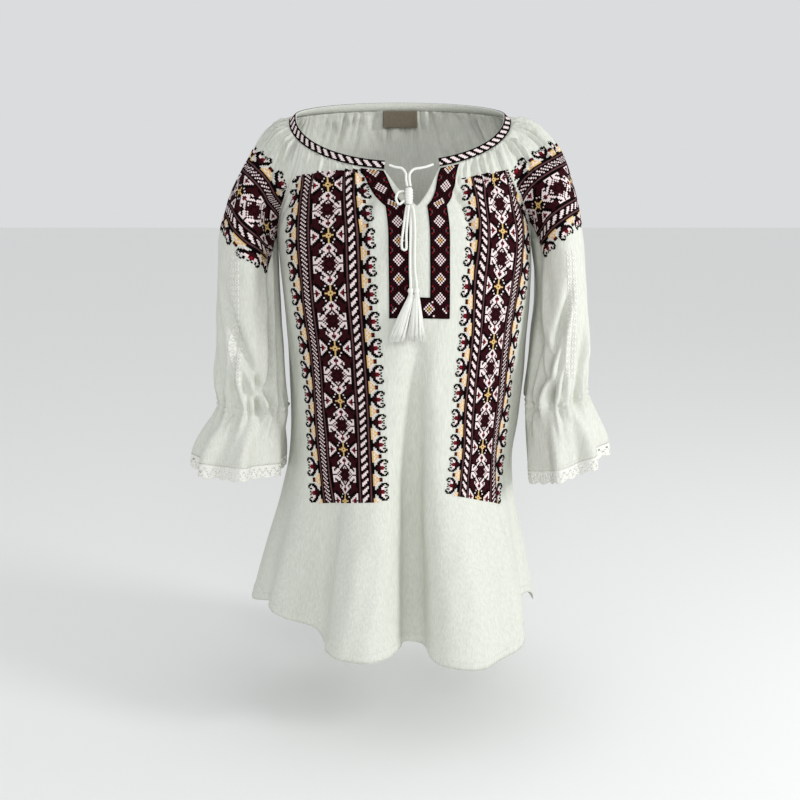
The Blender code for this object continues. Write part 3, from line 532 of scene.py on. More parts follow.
def placket_inner(down):
    """How far the placket's inner edge stands from the slit's edge."""
    return PLACKET_INNER_TOP + (PLACKET_INNER - PLACKET_INNER_TOP) * ease(down / SLIT_END)


def across_share(distance, down):
    """The share of a half panel that lies this far from the slit's edge."""
    step = 0.02
    first = panel_base(slit_across(step, down), down, -1)
    second = panel_base(slit_across(3 * step, down), down, -1)
    return distance * 2 * step / np.linalg.norm(second - first, axis=-1)


# %% [markdown]
# ## Directions out of the cloth
# Folds and stitches stand up along the cloth's normal. It comes from differences
# of the point function. At a seam both cloths have to agree, so there it turns
# to a direction that they share, and at the neckband it turns into the band's.

# %% Normals and seams
GAUZE_THICKNESS = 0.9 * MM


def surface_normal(point, across, down, outward):
    """Unit normal of a point function, by differences, turned to face outward."""
    step = 0.004
    low = np.maximum(down - step, 0.0)
    along = point(across, low + 2 * step) - point(across, low)
    over = point(np.clip(across + step, -1.0, 1.0), down) - point(np.clip(across - step, -1.0, 1.0), down)
    normal = unit(np.cross(over, along))
    flip = np.sign(np.sum(normal * outward, axis=-1, keepdims=True))
    return normal * np.where(flip == 0, 1.0, flip)


def raglan_normal(side, face, down):
    """The direction that both cloths share at a raglan seam, pointing out."""
    t = np.clip(down, 0.0, 1.0)
    out = side * (0.45 * (1 - t) - 0.02 * t)
    ahead = face * (0.55 + 1.2 * t * (1 - t) - 0.50 * t ** 4)
    return unit(vec(out, ahead, 0.70 * (1 - t) ** 1.5 - 1.1 * t ** 5))


def towards(point, across, down, along, normal):
    """The direction in the cloth from an edge to the panel's own middle."""
    inward = point(across * 0.97, down) - point(across, down)
    for away in (along, normal):
        inward = inward - away * np.sum(inward * away, axis=-1, keepdims=True)
    return unit(inward)


def at_band(normal, angle, down):
    """At the neckband, cloth lies in the band's own plane."""
    share = (1.0 - ease(down / 0.05))[..., None]
    return unit(normal * (1 - share) + band_out(angle) * share)


def sewn_normal(normal, share, at_side, down, side, angle):
    """A normal that turns to at_side at a seam, downward near the armpit, and into
    the neckband's at the neck. share is how much of it the seam takes."""
    near_armpit = (1.0 - ease(np.abs(down - 1.0) / 0.10))[..., None]
    at_side = unit(at_side + near_armpit * vec(0.3 * side, 0.0, -1.0))
    return at_band(unit(normal * (1 - share) + at_side * share), angle, down)


def seam_shift(point, across, down, normal, edge):
    """Half the seam's gap, along the cloth, at a panel's sewn edges."""
    along = unit(point(across, down + 0.01) - point(across, np.maximum(down - 0.01, 0.0)))
    return np.where(edge[..., None], towards(point, across, down, along, normal) * SEAM_GAP / 2, 0.0)


# %% A panel's surface
def panel_surface(across, down, face, lift):
    """Base points, outer points and normals of a front or back panel."""
    def point(u, v):
        return panel_base(u, v, face)
    base = point(across, down)
    normal = surface_normal(point, across, down, base * np.array([1.0, 1.0, 0.0]))
    side = np.sign(across)
    share = np.abs(across)[..., None] ** 14
    at_side = np.where((down >= 1.0)[..., None], vec(side, 0.0, 0.0), raglan_normal(side, face, down))
    normal = sewn_normal(normal, share, at_side, down, side, panel_angles(across, face)[0])
    shift = seam_shift(point, across, down, normal, np.abs(across) > 0.999)
    return base, base + shift + normal * lift[..., None], normal


# %% [markdown]
# ## Gathers and creases
# Gathers are pleats that a running thread has pushed together. They are narrow at
# the band, uneven in width and height, and each one dies out at its own depth.
# A wave with a wandering phase does this. Small creases come from a sum of plane
# waves with fixed random directions, longer down the cloth than across it.

# %% Gather and crease functions
FRONT_GATHERS = 20
BACK_GATHERS = 18
LONG_FOLD_FIELDS = ("middle", "half_width", "depth", "top", "foot")
SLEEVE_GATHERS = 18
GATHER_AT_BAND = 0.9 * MM
GATHER_HIGHEST = 4.0 * MM
# How high creases are, how wide across and how long down the cloth.
CRUMPLE = (0.75 * MM, 0.008, 0.030)
FRONT_CREASES = (0.55 * MM, 0.024, 0.12)
BACK_CREASES = (0.7 * MM, 0.035, 0.14)
ARM_CREASES = (0.8 * MM, 0.030, 0.10)


def gathers(place, down, count, seed):
    """Height of uneven gathers. place runs from 0 to 1 across the panel."""
    draw = np.random.default_rng(seed).uniform(0.0, 2 * math.pi, 6)
    wander = (0.30 * np.sin(2 * math.pi * 3.0 * place + draw[0])
              + 0.18 * np.sin(2 * math.pi * 7.0 * place + draw[1]))
    phase = 2 * math.pi * (count * place + wander)
    pleat = np.cos(phase) + 0.28 * np.cos(2 * phase + 0.7)
    uneven = 0.78 + 0.25 * np.sin(2 * math.pi * 4.7 * place + draw[2]) + 0.2 * np.sin(phase * 0.5 + draw[3])
    reach = 0.50 + 0.18 * np.sin(2 * math.pi * 5.3 * place + draw[4]) + 0.12 * np.sin(phase * 0.5 + draw[5])
    rise = GATHER_AT_BAND + (GATHER_HIGHEST - GATHER_AT_BAND) * ease(down / 0.12)
    fine = 0.8 * MM * np.cos(2.0 * phase + draw[3]) * (1.0 - ease(down / 0.34))
    return pleat * uneven * rise * (1.0 - ease((down - 0.08) / reach)) + fine


def long_folds(rows, place, down, rise, fade):
    """Soft folds down the cloth, which take rise to grow and fade to die out."""
    push = np.zeros(np.shape(place))
    for fold in named(LONG_FOLD_FIELDS, rows):
        span = ease((down - fold["top"]) / rise) * ease((fold["foot"] - down) / fade)
        push = push + fold["depth"] * span * bump(place, fold["middle"], fold["half_width"])
    return push


def crumple(points, down, seed):
    """Short sharp wrinkles that the gathering thread leaves near the band."""
    return creases(points, seed, *CRUMPLE) * (1.0 - ease((down - 0.05) / 0.55))


def creases(points, seed, amount, width, length, count=14):
    """Soft random relief, with creases about this wide across and long downward."""
    rng = np.random.default_rng(seed)
    total = np.zeros(points.shape[:-1])
    for number in range(count):
        turn = rng.uniform(0.0, 2 * math.pi)
        across = 2 * math.pi / (width * rng.uniform(0.7, 1.8))
        along = 2 * math.pi / (length * rng.uniform(0.6, 2.0)) * rng.choice([-1.0, 1.0])
        wave = vec(across * math.cos(turn), across * math.sin(turn), along)
        total = total + np.sin(points @ wave + rng.uniform(0.0, 2 * math.pi))
    return amount * total / math.sqrt(count)


# %% [markdown]
# ## The front and back panels
# The front is one piece with a slit cut from the neck, so its grid has two halves
# that are welded below the slit's end. The hem is turned up twice and stitched:
# the last few millimetres are thicker, and stand a little proud of the cloth.

# %% Front panel values, long folds and hem
FRONT_HALF_CELLS = 74
FRONT_ROWS = np.concatenate([np.linspace(0.0, SLIT_END, 34)[:-1], np.linspace(SLIT_END, 1.0, 27)[:-1],
                             np.linspace(1.0, 2.0, 114)])
HEM_FOLD_HEIGHT = 9.0 * MM
HEM_FOLD_LIFT = 0.5 * MM
FRONT_FOLD_RISE = 0.25
FRONT_FOLD_FADE = 0.45
FRONT_SEEDS = {"gathers": 11, "creases": 5, "crumple": 7}
BACK_SEEDS = {"gathers": 12, "creases": 6, "crumple": 8}
YOKE_FOLDS = [
    (-0.268, 0.024, -0.0068, 0.25, 1.30),
    (-0.345, 0.018, -0.0034, 0.06, 0.75),
    (0.278, 0.026, -0.0070, 0.20, 1.30),
    (0.355, 0.018, -0.0036, 0.06, 0.80),
    (-0.880, 0.030, -0.0030, 0.25, 0.95),
    (0.900, 0.030, -0.0030, 0.25, 0.95),
    (-0.010, 0.045, -0.0130, 1.15, 2.60),
    (0.095, 0.060, 0.0030, 1.20, 2.60),
    (-0.420, 0.050, -0.0040, 1.30, 2.60),
    (-0.300, 0.060, 0.0030, 1.40, 2.60),
    (0.560, 0.045, -0.0040, 1.35, 2.60),
]


def hem_push(down, length):
    """The turned hem stands proud over its own height."""
    above = (2.0 - down) * length
    return HEM_FOLD_LIFT * (1.0 - ease((above - HEM_FOLD_HEIGHT) / (1.5 * MM)))


# %% Make the front panel
# The two middle columns lie a hair apart, so that each knows which half it is in.
halves = np.concatenate([np.linspace(-1, 0, FRONT_HALF_CELLS + 1), np.linspace(0, 1, FRONT_HALF_CELLS + 1)])
halves[FRONT_HALF_CELLS] = -1e-9
halves[FRONT_HALF_CELLS + 1] = 1e-9
share, front_down = np.meshgrid(halves, FRONT_ROWS)
front_across = slit_across(share, front_down)
at_edge = 1.0 - np.abs(share) ** 20
under_placket = across_share(placket_inner(front_down) + PLACKET_REACH, front_down)
flat_slit = ease((np.abs(share) - under_placket) / 0.07)
lift = gathers((share + 1) / 2, front_down, FRONT_GATHERS, FRONT_SEEDS["gathers"]) * at_edge * flat_slit
folds = long_folds(YOKE_FOLDS, front_across, front_down, FRONT_FOLD_RISE, FRONT_FOLD_FADE)
lift = lift + folds + hem_push(front_down, ARMPIT_Z - HEM_Z)
rough_points = panel_base(front_across, front_down, -1)
soft = creases(rough_points, FRONT_SEEDS["creases"], *FRONT_CREASES)
lift = lift + soft * at_edge * ease(front_down / 0.2)
lift = lift + crumple(rough_points, front_down, FRONT_SEEDS["crumple"]) * at_edge * flat_slit
front_base, front_outer, front_normal = panel_surface(front_across, front_down, -1, lift)
front_keep = np.ones((len(FRONT_ROWS) - 1, len(halves) - 1), bool)
front_keep[:, FRONT_HALF_CELLS] = False
slit_row = int(np.argmin(np.abs(FRONT_ROWS - SLIT_END)))
front_panel = wall("cloth_front", front_outer, front_outer - front_normal * GAUZE_THICKNESS, GAUZE,
                   front_keep, range(slit_row, len(FRONT_ROWS)), (FRONT_HALF_CELLS, FRONT_HALF_CELLS + 1))
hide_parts("front_panel")

# %% Back panel
BACK_CELLS = 112
BACK_ROWS = np.concatenate([np.linspace(0.0, 1.0, 48)[:-1], np.linspace(1.0, 2.0, 78)])
back_across, back_down = np.meshgrid(np.linspace(-1, 1, BACK_CELLS + 1), BACK_ROWS)
at_edge = 1.0 - np.abs(back_across) ** 20
lift = gathers((back_across + 1) / 2, back_down, BACK_GATHERS, BACK_SEEDS["gathers"]) * at_edge
lift = lift + hem_push(back_down, ARMPIT_Z - HEM_Z)
rough_points = panel_base(back_across, back_down, 1)
soft = creases(rough_points, BACK_SEEDS["creases"], *BACK_CREASES)
lift = lift + soft * at_edge * ease(back_down / 0.2)
lift = lift + crumple(rough_points, back_down, BACK_SEEDS["crumple"]) * at_edge
back_outer, back_normal = panel_surface(back_across, back_down, 1, lift)[1:]
back_panel = wall("cloth_back", back_outer, back_outer - back_normal * GAUZE_THICKNESS, GAUZE)
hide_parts("back_panel")

# %% [markdown]
# ## The sleeves
# A raglan sleeve runs up to the neckband between the front and the back. Above
# the armpit it is open along both seams, and below it is a tube. An elastic in a
# casing shirrs it under the elbow into fine pleats, and the flounce below opens
# in a few soft waves.

# %% Sleeve tables
SLEEVE_FIELDS = ("down", "outer_z", "inner_z", "inner", "outer", "front_y", "back_y")
SLEEVE_SECTIONS = {
    -1: [
        (1.00, -0.144, -0.138, 0.1478, 0.2170, -0.062, 0.058),
        (1.25, -0.207, -0.207, 0.1450, 0.2200, -0.070, 0.045),
        (1.50, -0.276, -0.276, 0.1400, 0.2215, -0.080, 0.022),
        (1.68, -0.315, -0.318, 0.1375, 0.2205, -0.084, 0.006),
        (1.765, -0.333, -0.337, 0.1370, 0.2155, -0.083, 0.000),
        (1.80, -0.341, -0.345, 0.1370, 0.2175, -0.084, 0.000),
        (1.85, -0.354, -0.360, 0.1380, 0.2260, -0.090, 0.003),
        (2.00, -0.3990, -0.4020, 0.1410, 0.2460, -0.103, 0.014),
        (2.06, -0.4150, -0.4180, 0.1420, 0.2480, -0.105, 0.015),
    ],
    1: [
        (1.00, -0.144, -0.141, 0.1578, 0.2200, -0.062, 0.058),
        (1.25, -0.205, -0.205, 0.1640, 0.2225, -0.070, 0.045),
        (1.50, -0.270, -0.272, 0.1575, 0.2240, -0.080, 0.022),
        (1.68, -0.303, -0.314, 0.1530, 0.2240, -0.084, 0.006),
        (1.765, -0.319, -0.334, 0.1525, 0.2225, -0.083, 0.000),
        (1.80, -0.326, -0.342, 0.1525, 0.2240, -0.084, 0.000),
        (1.85, -0.340, -0.359, 0.1530, 0.2300, -0.089, 0.003),
        (2.00, -0.3830, -0.4150, 0.1570, 0.2440, -0.100, 0.014),
        (2.06, -0.3980, -0.4310, 0.1580, 0.2460, -0.102, 0.015),
    ],
}
SHOULDER_START = {-1: (-0.118, 0.0, -0.012), 1: (0.185, 0.0, 0.020)}
SHOULDER_END = {-1: (-0.026, 0.0, -0.150), 1: (0.024, 0.0, -0.165)}
SLEEVE_FOLDS = {
    -1: [
        (-0.78, 0.10, -0.0050, 0.55, 1.85),
        (-0.60, 0.11, 0.0040, 0.60, 1.80),
        (-0.28, 0.10, -0.0035, 1.00, 1.75),
        (0.30, 0.12, -0.0050, 0.90, 1.80),
        (0.62, 0.12, 0.0045, 0.60, 1.75),
        (-0.45, 0.10, -0.0040, 0.02, 0.55),
        (-0.12, 0.09, -0.0045, 0.02, 0.60),
        (0.25, 0.10, -0.0040, 0.02, 0.55),
    ],
    1: [
        (-0.80, 0.10, -0.0045, 0.60, 1.80),
        (-0.50, 0.12, -0.0035, 1.05, 1.75),
        (-0.20, 0.10, 0.0035, 0.90, 1.70),
        (0.30, 0.12, -0.0050, 0.90, 1.80),
        (0.60, 0.12, 0.0045, 0.60, 1.75),
        (-0.50, 0.10, -0.0040, 0.02, 0.50),
        (-0.20, 0.09, -0.0045, 0.02, 0.60),
        (0.20, 0.10, -0.0040, 0.02, 0.55),
    ],
}
SLEEVE_FOLD_RISE = 0.35
SLEEVE_FOLD_FADE = 0.25
ELASTIC_DOWN = 1.78
FLUTES = 7
FLUTE_HEIGHT = 6.6 * MM


# %% Sleeve sections
def sleeve_section(side, round_sleeve, down):
    """A sleeve's plain section at and below the armpit level."""
    inner, outer, front, back, outer_z, inner_z = [
        smooth(SLEEVE_FIELDS, SLEEVE_SECTIONS[side], name, down)
        for name in ("inner", "outer", "front_y", "back_y", "outer_z", "inner_z")]
    share = 0.5 + 0.5 * np.cos(math.pi * round_sleeve)
    depth_share = 0.5 + 0.5 * np.sin(math.pi * round_sleeve)
    return vec(side * (inner + (outer - inner) * share), front + (back - front) * depth_share,
               inner_z + (outer_z - inner_z) * share)


def sleeve_neck(round_sleeve):
    """The angle round the neck where a line of the sleeve starts."""
    return (FRONT_RAGLAN + BACK_RAGLAN) / 2 + (BACK_RAGLAN - FRONT_RAGLAN) / 2 * round_sleeve


def sleeve_middle(side, down):
    """The middle of the sleeve's section, or of the armhole above the armpit."""
    low = np.maximum(down, 1.0)
    middle = 0.5 * (sleeve_section(side, 0.0, low) + sleeve_section(side, 1.0, low))
    lift = np.clip(1.0 - down, 0.0, 1.0)
    return middle + vec(-0.035 * side * lift, 0.0 * lift, 0.075 * lift)


# %% A sleeve as a function
def sleeve_base(side, round_sleeve, down):
    """A sleeve with its long folds only."""
    round_sleeve, down = np.broadcast_arrays(np.asarray(round_sleeve, float), np.asarray(down, float))
    away = np.abs(round_sleeve)[..., None]
    ahead = (round_sleeve < 0)[..., None]
    front_start, front_end = seam_pulls(side, -1)
    back_start, back_end = seam_pulls(side, 1)
    seam_start = np.where(ahead, front_start, back_start)
    seam_end = np.where(ahead, front_end, back_end)
    start_pull = vec(*SHOULDER_START[side]) * (1 - away ** 2.2) + seam_start * away ** 2.2
    outer_share = (0.5 + 0.5 * np.cos(math.pi * round_sleeve))[..., None]
    ones = np.ones_like(outer_share)
    arrive = vec(*SHOULDER_END[side]) * np.concatenate([outer_share, ones, ones], axis=-1)
    end_pull = arrive * (1 - away ** 3) + seam_end * away ** 3
    crotch = away ** 8
    level = sleeve_section(side, round_sleeve, np.ones(down.shape)) * (1 - crotch) + armpit(side) * crotch
    yoke = hermite(neck_edge(side * sleeve_neck(round_sleeve)), start_pull, level, end_pull,
                   np.clip(down, 0.0, 1.0))
    lower = sleeve_section(side, round_sleeve, np.maximum(down, 1.0))
    settle = (1.0 - ease((down - 1.0) / 0.12))[..., None] * crotch
    lower = lower + (armpit(side) - sleeve_section(side, 1.0, 1.0)) * settle
    points = np.where((down > 1.0)[..., None], lower, yoke)
    outward = unit((points - sleeve_middle(side, down)) * np.array([1.0, 1.0, 0.35]))
    push = long_folds(SLEEVE_FOLDS[side], round_sleeve, down, SLEEVE_FOLD_RISE, SLEEVE_FOLD_FADE)
    return points + outward * (push * (1.0 - np.abs(round_sleeve) ** 10))[..., None]


# %% The flounce and a sleeve's surface
def flute(side, round_sleeve, down):
    """The flounce's waves, which grow from the elastic to the lace."""
    grow = ease((down - ELASTIC_DOWN) / (2.0 - ELASTIC_DOWN))
    calm = 1.0 - 0.6 * np.abs(round_sleeve) ** 6
    phase = FLUTES * math.pi * round_sleeve + 0.6 * side
    wave = np.cos(phase) + 0.25 * np.cos(2 * phase + 0.8)
    return FLUTE_HEIGHT * grow * calm * wave


def sleeve_surface(side, round_sleeve, down, lift):
    """Base points, outer points and normals of a sleeve."""
    def point(u, v):
        return sleeve_base(side, u, v)
    base = point(round_sleeve, down)
    normal = surface_normal(point, round_sleeve, down, base - sleeve_middle(side, down))
    share = np.abs(round_sleeve)[..., None] ** 14
    face = np.where(round_sleeve < 0, -1.0, 1.0)
    at_side = np.where((down > 1.0)[..., None], vec(-1.0 * side, 0.0, 0.0), raglan_normal(side, face, down))
    normal = sewn_normal(normal, share, at_side, down, -side, side * sleeve_neck(round_sleeve))
    edge = (np.abs(round_sleeve) > 0.999) & (down < 1.001)
    outer = base + seam_shift(point, round_sleeve, down, normal, edge)
    outer = outer + np.where((down >= 0.999)[..., None], vec(side * SEAM_GAP, 0.0, 0.0) * share, 0.0)
    lift = lift + flute(side, round_sleeve, down)
    return base, outer + normal * lift[..., None], normal


# %% Values for the sleeves' grid, creases and shirring
SLEEVE_CELLS = 124
SLEEVE_ROWS = np.concatenate([np.linspace(0.0, 1.0, 54)[:-1], np.linspace(1.0, 1.62, 61)[:-1],
                              np.linspace(1.62, 1.92, 38)[:-1], np.linspace(1.92, 2.0, 9)])
SHIRR_PLEATS = 22
SHIRR_HEIGHT = 3.2 * MM
CASING_HALF = 0.016
ARM_CREASE = 2.1
CREASE_FIELDS = ("around", "lean", "depth", "half_width", "top", "foot")
SLEEVE_CREASES = {
    -1: [
        (-0.86, 0.10, -0.0034, 0.040, 0.95, 1.80), (-0.70, 0.18, -0.0040, 0.035, 1.05, 1.84),
        (-0.57, 0.30, -0.0032, 0.030, 1.40, 1.86), (-0.50, -0.06, -0.0026, 0.028, 1.50, 1.88),
        (-0.34, 0.22, -0.0034, 0.032, 1.30, 1.86), (-0.22, -0.20, -0.0030, 0.028, 1.45, 1.90),
        (-0.76, -0.85, -0.0042, 0.050, 1.12, 1.86), (-0.60, -0.55, -0.0026, 0.040, 1.30, 1.86),
        (-0.08, 0.10, -0.0026, 0.030, 1.40, 1.84), (0.15, 0.12, -0.0030, 0.040, 1.20, 1.82),
        (0.45, -0.10, -0.0030, 0.040, 1.10, 1.84), (0.75, 0.06, -0.0030, 0.040, 1.00, 1.82)],
    1: [
        (-0.88, -0.08, -0.0034, 0.040, 0.95, 1.80), (-0.74, 0.16, -0.0036, 0.035, 1.00, 1.84),
        (-0.60, -0.24, -0.0034, 0.030, 1.30, 1.86), (-0.48, 0.10, -0.0028, 0.028, 1.45, 1.88),
        (-0.33, -0.20, -0.0034, 0.032, 1.25, 1.86), (-0.20, 0.14, -0.0028, 0.028, 1.45, 1.90),
        (-0.80, -0.60, -0.0040, 0.050, 1.10, 1.86), (-0.55, 0.55, -0.0026, 0.040, 1.25, 1.86),
        (-0.05, -0.10, -0.0026, 0.030, 1.35, 1.84), (0.18, 0.12, -0.0030, 0.040, 1.20, 1.82),
        (0.48, -0.10, -0.0030, 0.040, 1.10, 1.84), (0.78, 0.06, -0.0030, 0.040, 1.00, 1.82)],
}


# %% Crease and shirring functions
def arm_creases(side, around, down):
    """Slanting creases that run down the arm into the elastic."""
    push = np.zeros(around.shape)
    for row in named(CREASE_FIELDS, SLEEVE_CREASES[side]):
        middle = row["around"] + row["lean"] * (down - ELASTIC_DOWN)
        span = ease((down - row["top"]) / 0.30) * ease((row["foot"] - down) / 0.10)
        ridge = bump(around, middle + 1.7 * row["half_width"], row["half_width"])
        groove = bump(around, middle, row["half_width"])
        push = push + ARM_CREASE * row["depth"] * span * (groove - 0.6 * ridge)
    return push


def shirring(around, down, seed):
    """Fine pleats above and below the elastic, pinched at its two stitch lines."""
    draw = np.random.default_rng(seed).uniform(0.0, 2 * math.pi, 4)
    phase = math.pi * SHIRR_PLEATS * around + 1.6 * np.sin(math.pi * 4 * around + draw[0])
    uneven = (0.8 + 0.3 * np.sin(math.pi * 9 * around + draw[1])
              + 0.25 * np.sin(math.pi * 5 * around + draw[2]))
    above = np.clip(ELASTIC_DOWN - down, 0.0, None)
    below = np.clip(down - ELASTIC_DOWN, 0.0, None)
    reach = 1.0 + 0.5 * np.sin(math.pi * 7 * around + draw[3])
    spread = np.exp(-(above / (0.075 * reach)) ** 2) * np.exp(-(below / (0.080 * reach)) ** 2)
    pinch = 1.0 - 0.55 * bump(np.abs(down - ELASTIC_DOWN), CASING_HALF, 0.006)
    pleat = np.cos(phase) + 0.3 * np.cos(2 * phase + 1.0)
    return SHIRR_HEIGHT * uneven * pleat * spread * pinch - 0.5 * MM * (1 - pinch)


# %% Make both sleeves
def make_sleeve(side, name, node, seed):
    """One sleeve, and its grids for what is stitched on it."""
    around, down = np.meshgrid(np.linspace(-1, 1, SLEEVE_CELLS + 1), SLEEVE_ROWS)
    at_edge = np.where(down > 1.0, 1.0, 1.0 - np.abs(around) ** 20)
    lift = gathers((around + 1) / 2, down, SLEEVE_GATHERS, seed) * (1.0 - np.abs(around) ** 20)
    lift = lift + shirring(around, down, seed + 1) + arm_creases(side, around, down)
    rough = sleeve_base(side, around, down)
    lift = lift + crumple(rough, down, seed + 3) * (1.0 - np.abs(around) ** 20)
    lift = lift + creases(rough, seed + 2, *ARM_CREASES) * at_edge * (1 - np.abs(around) ** 12)
    base, outer, normal = sleeve_surface(side, around, down, lift)
    inner = outer - normal * GAUZE_THICKNESS
    closed = SLEEVE_ROWS >= 1.0
    for layer in (outer, inner, base):
        layer[closed, 0] = layer[closed, -1] = 0.5 * (layer[closed, 0] + layer[closed, -1])
    rows = np.flatnonzero(closed)
    piece = wall(name, outer, inner, GAUZE, None, rows, (0, SLEEVE_CELLS))
    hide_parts(node)
    return {"base": base, "outer": outer, "normal": normal}


sleeves = {-1: make_sleeve(-1, "cloth_sleeve_right", "sleeve_right", 21),
           1: make_sleeve(1, "cloth_sleeve_left", "sleeve_left", 31)}

# %% [markdown]
# ## Cross-stitch on curved cloth
# Each stitch is two short yarns crossed over one square of the cloth. To lay a
# band of squares on a curved panel, walk along its middle line in half-stitch
# steps, and from every step walk out to both sides along the cloth. Each square
# then gets a mesh of eight small faces, high at its corners and centre and low at
# the middles of its sides, which is the shape of the cross. Every thread colour
# is its own material.

# %% Walking on a grid of points
STITCH = 1.754 * MM
SPINE_WINDOW = 25


def sample(grid, place):
    """Points of a grid at fractional columns and rows, place[..., 0] and [..., 1]."""
    rows, columns = grid.shape[:2]
    u = np.clip(place[..., 0], 0.0, columns - 1.001)
    v = np.clip(place[..., 1], 0.0, rows - 1.001)
    c = np.floor(u).astype(int)
    r = np.floor(v).astype(int)
    s = (u - c)[..., None]
    t = (v - r)[..., None]
    top = grid[r, c] * (1 - s) + grid[r, c + 1] * s
    return top * (1 - t) + (grid[r + 1, c] * (1 - s) + grid[r + 1, c + 1] * s) * t


def step_on(grid, place, move):
    """The change of place that moves a point of the grid by a small vector."""
    half = 0.5
    over = sample(grid, place + [half, 0.0]) - sample(grid, place - [half, 0.0])
    down = sample(grid, place + [0.0, half]) - sample(grid, place - [0.0, half])
    a = np.sum(over * over, -1)
    b = np.sum(over * down, -1)
    d = np.sum(down * down, -1)
    e = np.sum(over * move, -1)
    f = np.sum(down * move, -1)
    base = np.maximum(a * d - b * b, 1e-18)
    return np.stack([(e * d - f * b) / base, (f * a - e * b) / base], -1), over, down


def smooth_rows(values, window):
    """A running mean over the rows of an array, with its ends held."""
    half = window // 2
    padded = np.concatenate([np.repeat(values[:1], half, 0), values, np.repeat(values[-1:], half, 0)])
    total = np.cumsum(np.concatenate([np.zeros_like(padded[:1]), padded]), axis=0)
    return (total[window:] - total[:-window]) / window


# %% Lay a band of squares
def lay_band(grid, line, widths, cells, limits):
    """Places on the grid for every half stitch of a band. line has the place of the
    middle at every half stitch, and widths how wide a stitch is there. The band
    stops at the limits of the columns."""
    ahead = unit(smooth_rows(np.gradient(sample(grid, line), axis=0), SPINE_WINDOW))
    places = np.zeros((len(line), 2 * cells + 1, 2))
    places[:, cells] = line
    for side in (-1, 1):
        place = line.copy()
        over, down = step_on(grid, place, ahead)[1:]
        normal = unit(np.cross(over, down))
        heading = side * unit(np.cross(ahead, normal))
        for number in range(1, cells + 1):
            place = place + step_on(grid, place, heading * widths[side][:, None] / 2)[0]
            over, down = step_on(grid, place, heading)[1:]
            normal = unit(np.cross(over, down))
            heading = unit(heading - normal * np.sum(heading * normal, axis=-1, keepdims=True))
            places[:, cells + side * number] = place
    inside = (places[..., 0] > limits[0]) & (places[..., 0] < limits[1]) & (places[..., 1] > 0.5)
    return places, inside


# %% [markdown]
# ## The chart
# The embroiderer works from a chart with one letter for each stitch: k black,
# g garnet, r red, w rose white, y gold, m mauve, c the ladders' white sewing
# thread, and a dot where the cloth shows.
# The traditional motifs are symmetrical, so a quarter of the middle column and a
# half of the edging are enough: a garnet diamond with four trefoils, then a small
# gold-centred star between two white triangles. The edging has ram's horns and
# gold triangles. Between them run thin lines and two slanted ropes.

# %% Charts
DIAMOND_QUARTER = [
    "gggggkwgkkg", "ggkggwkwwwk", "gkggwkwwwwk", "kgggkwwwkwk", "ggkgkwwkkwk",
    "gwkgwkkkwwk", "wgkwwkkgggk", "gkwwkkggggk", "gwwkkwggggk", "rwwwkwggggk",
    "rgwwwkggggg", "ggwwkkggggg", "gwwkkggggkg", "wwkkggggkkk", "ykkwkggkkkw",
    "ykkkkkkkkww", "ykkkwkkkwww", "ykggkkkwwgw", "yyggkkwwrgw", "kyyykkwkrgk",
]
HORN_HALF = [
    "kkgggrrk..", "kkkgggr.k.", "k.kggww...", "k..kkwwkk.", "k.wkkkw..k",
    "yw..kkk.kk", "yyw..kkkk.", "ywyw......", "ywyygg....", "yywyrg....",
]
LINE_GROUP = "kmk"
ROPE_CELLS = 4
WIDE_ROPE = {"period": 6.0, "slant": 1.3, "light": 0.46, "garnet": 0.82}
NARROW_ROPE = {"period": 3.0, "slant": -1.0, "light": 0.30, "garnet": 0.60}
CHART_REPEAT = 2 * (len(DIAMOND_QUARTER) - 1)
HORN_REPEAT = 2 * (len(HORN_HALF) - 1)
HORN_START = 7


def rope_letters(row, period, slant, light, garnet):
    """One row of a slanted rope: marks of rose white on garnet and black."""
    letters = ""
    for cell in range(ROPE_CELLS):
        turn = (row + slant * cell) / period % 1.0
        letters += "w" if turn < light else ("g" if turn > garnet else "k")
    return letters


def band_row(row):
    """One row of the whole band, from the edging to the edging."""
    middle = row % CHART_REPEAT
    quarter = DIAMOND_QUARTER[min(middle, CHART_REPEAT - middle)]
    horn = (row - HORN_START) % HORN_REPEAT
    edge = HORN_HALF[min(horn, HORN_REPEAT - horn)]
    return (edge[::-1] + LINE_GROUP + rope_letters(row, **NARROW_ROPE) + LINE_GROUP
            + quarter[:0:-1] + quarter + LINE_GROUP + rope_letters(row, **WIDE_ROPE)
            + LINE_GROUP + edge)


BAND_CELLS = len(band_row(0))
print("chart rows before the band repeats:", CHART_REPEAT)
print("band:", BAND_CELLS, "stitches wide,", round(BAND_CELLS * STITCH * 1000, 1), "mm")

# %% Stitch mesh
STITCH_LOW = 0.25 * MM
STITCH_HIGH = 0.70 * MM
STITCH_ROOT = -0.15 * MM
STITCH_FIELDS = [(0, 0), (0, 1), (0, 2), (1, 2), (2, 2), (2, 1), (2, 0), (1, 0)]


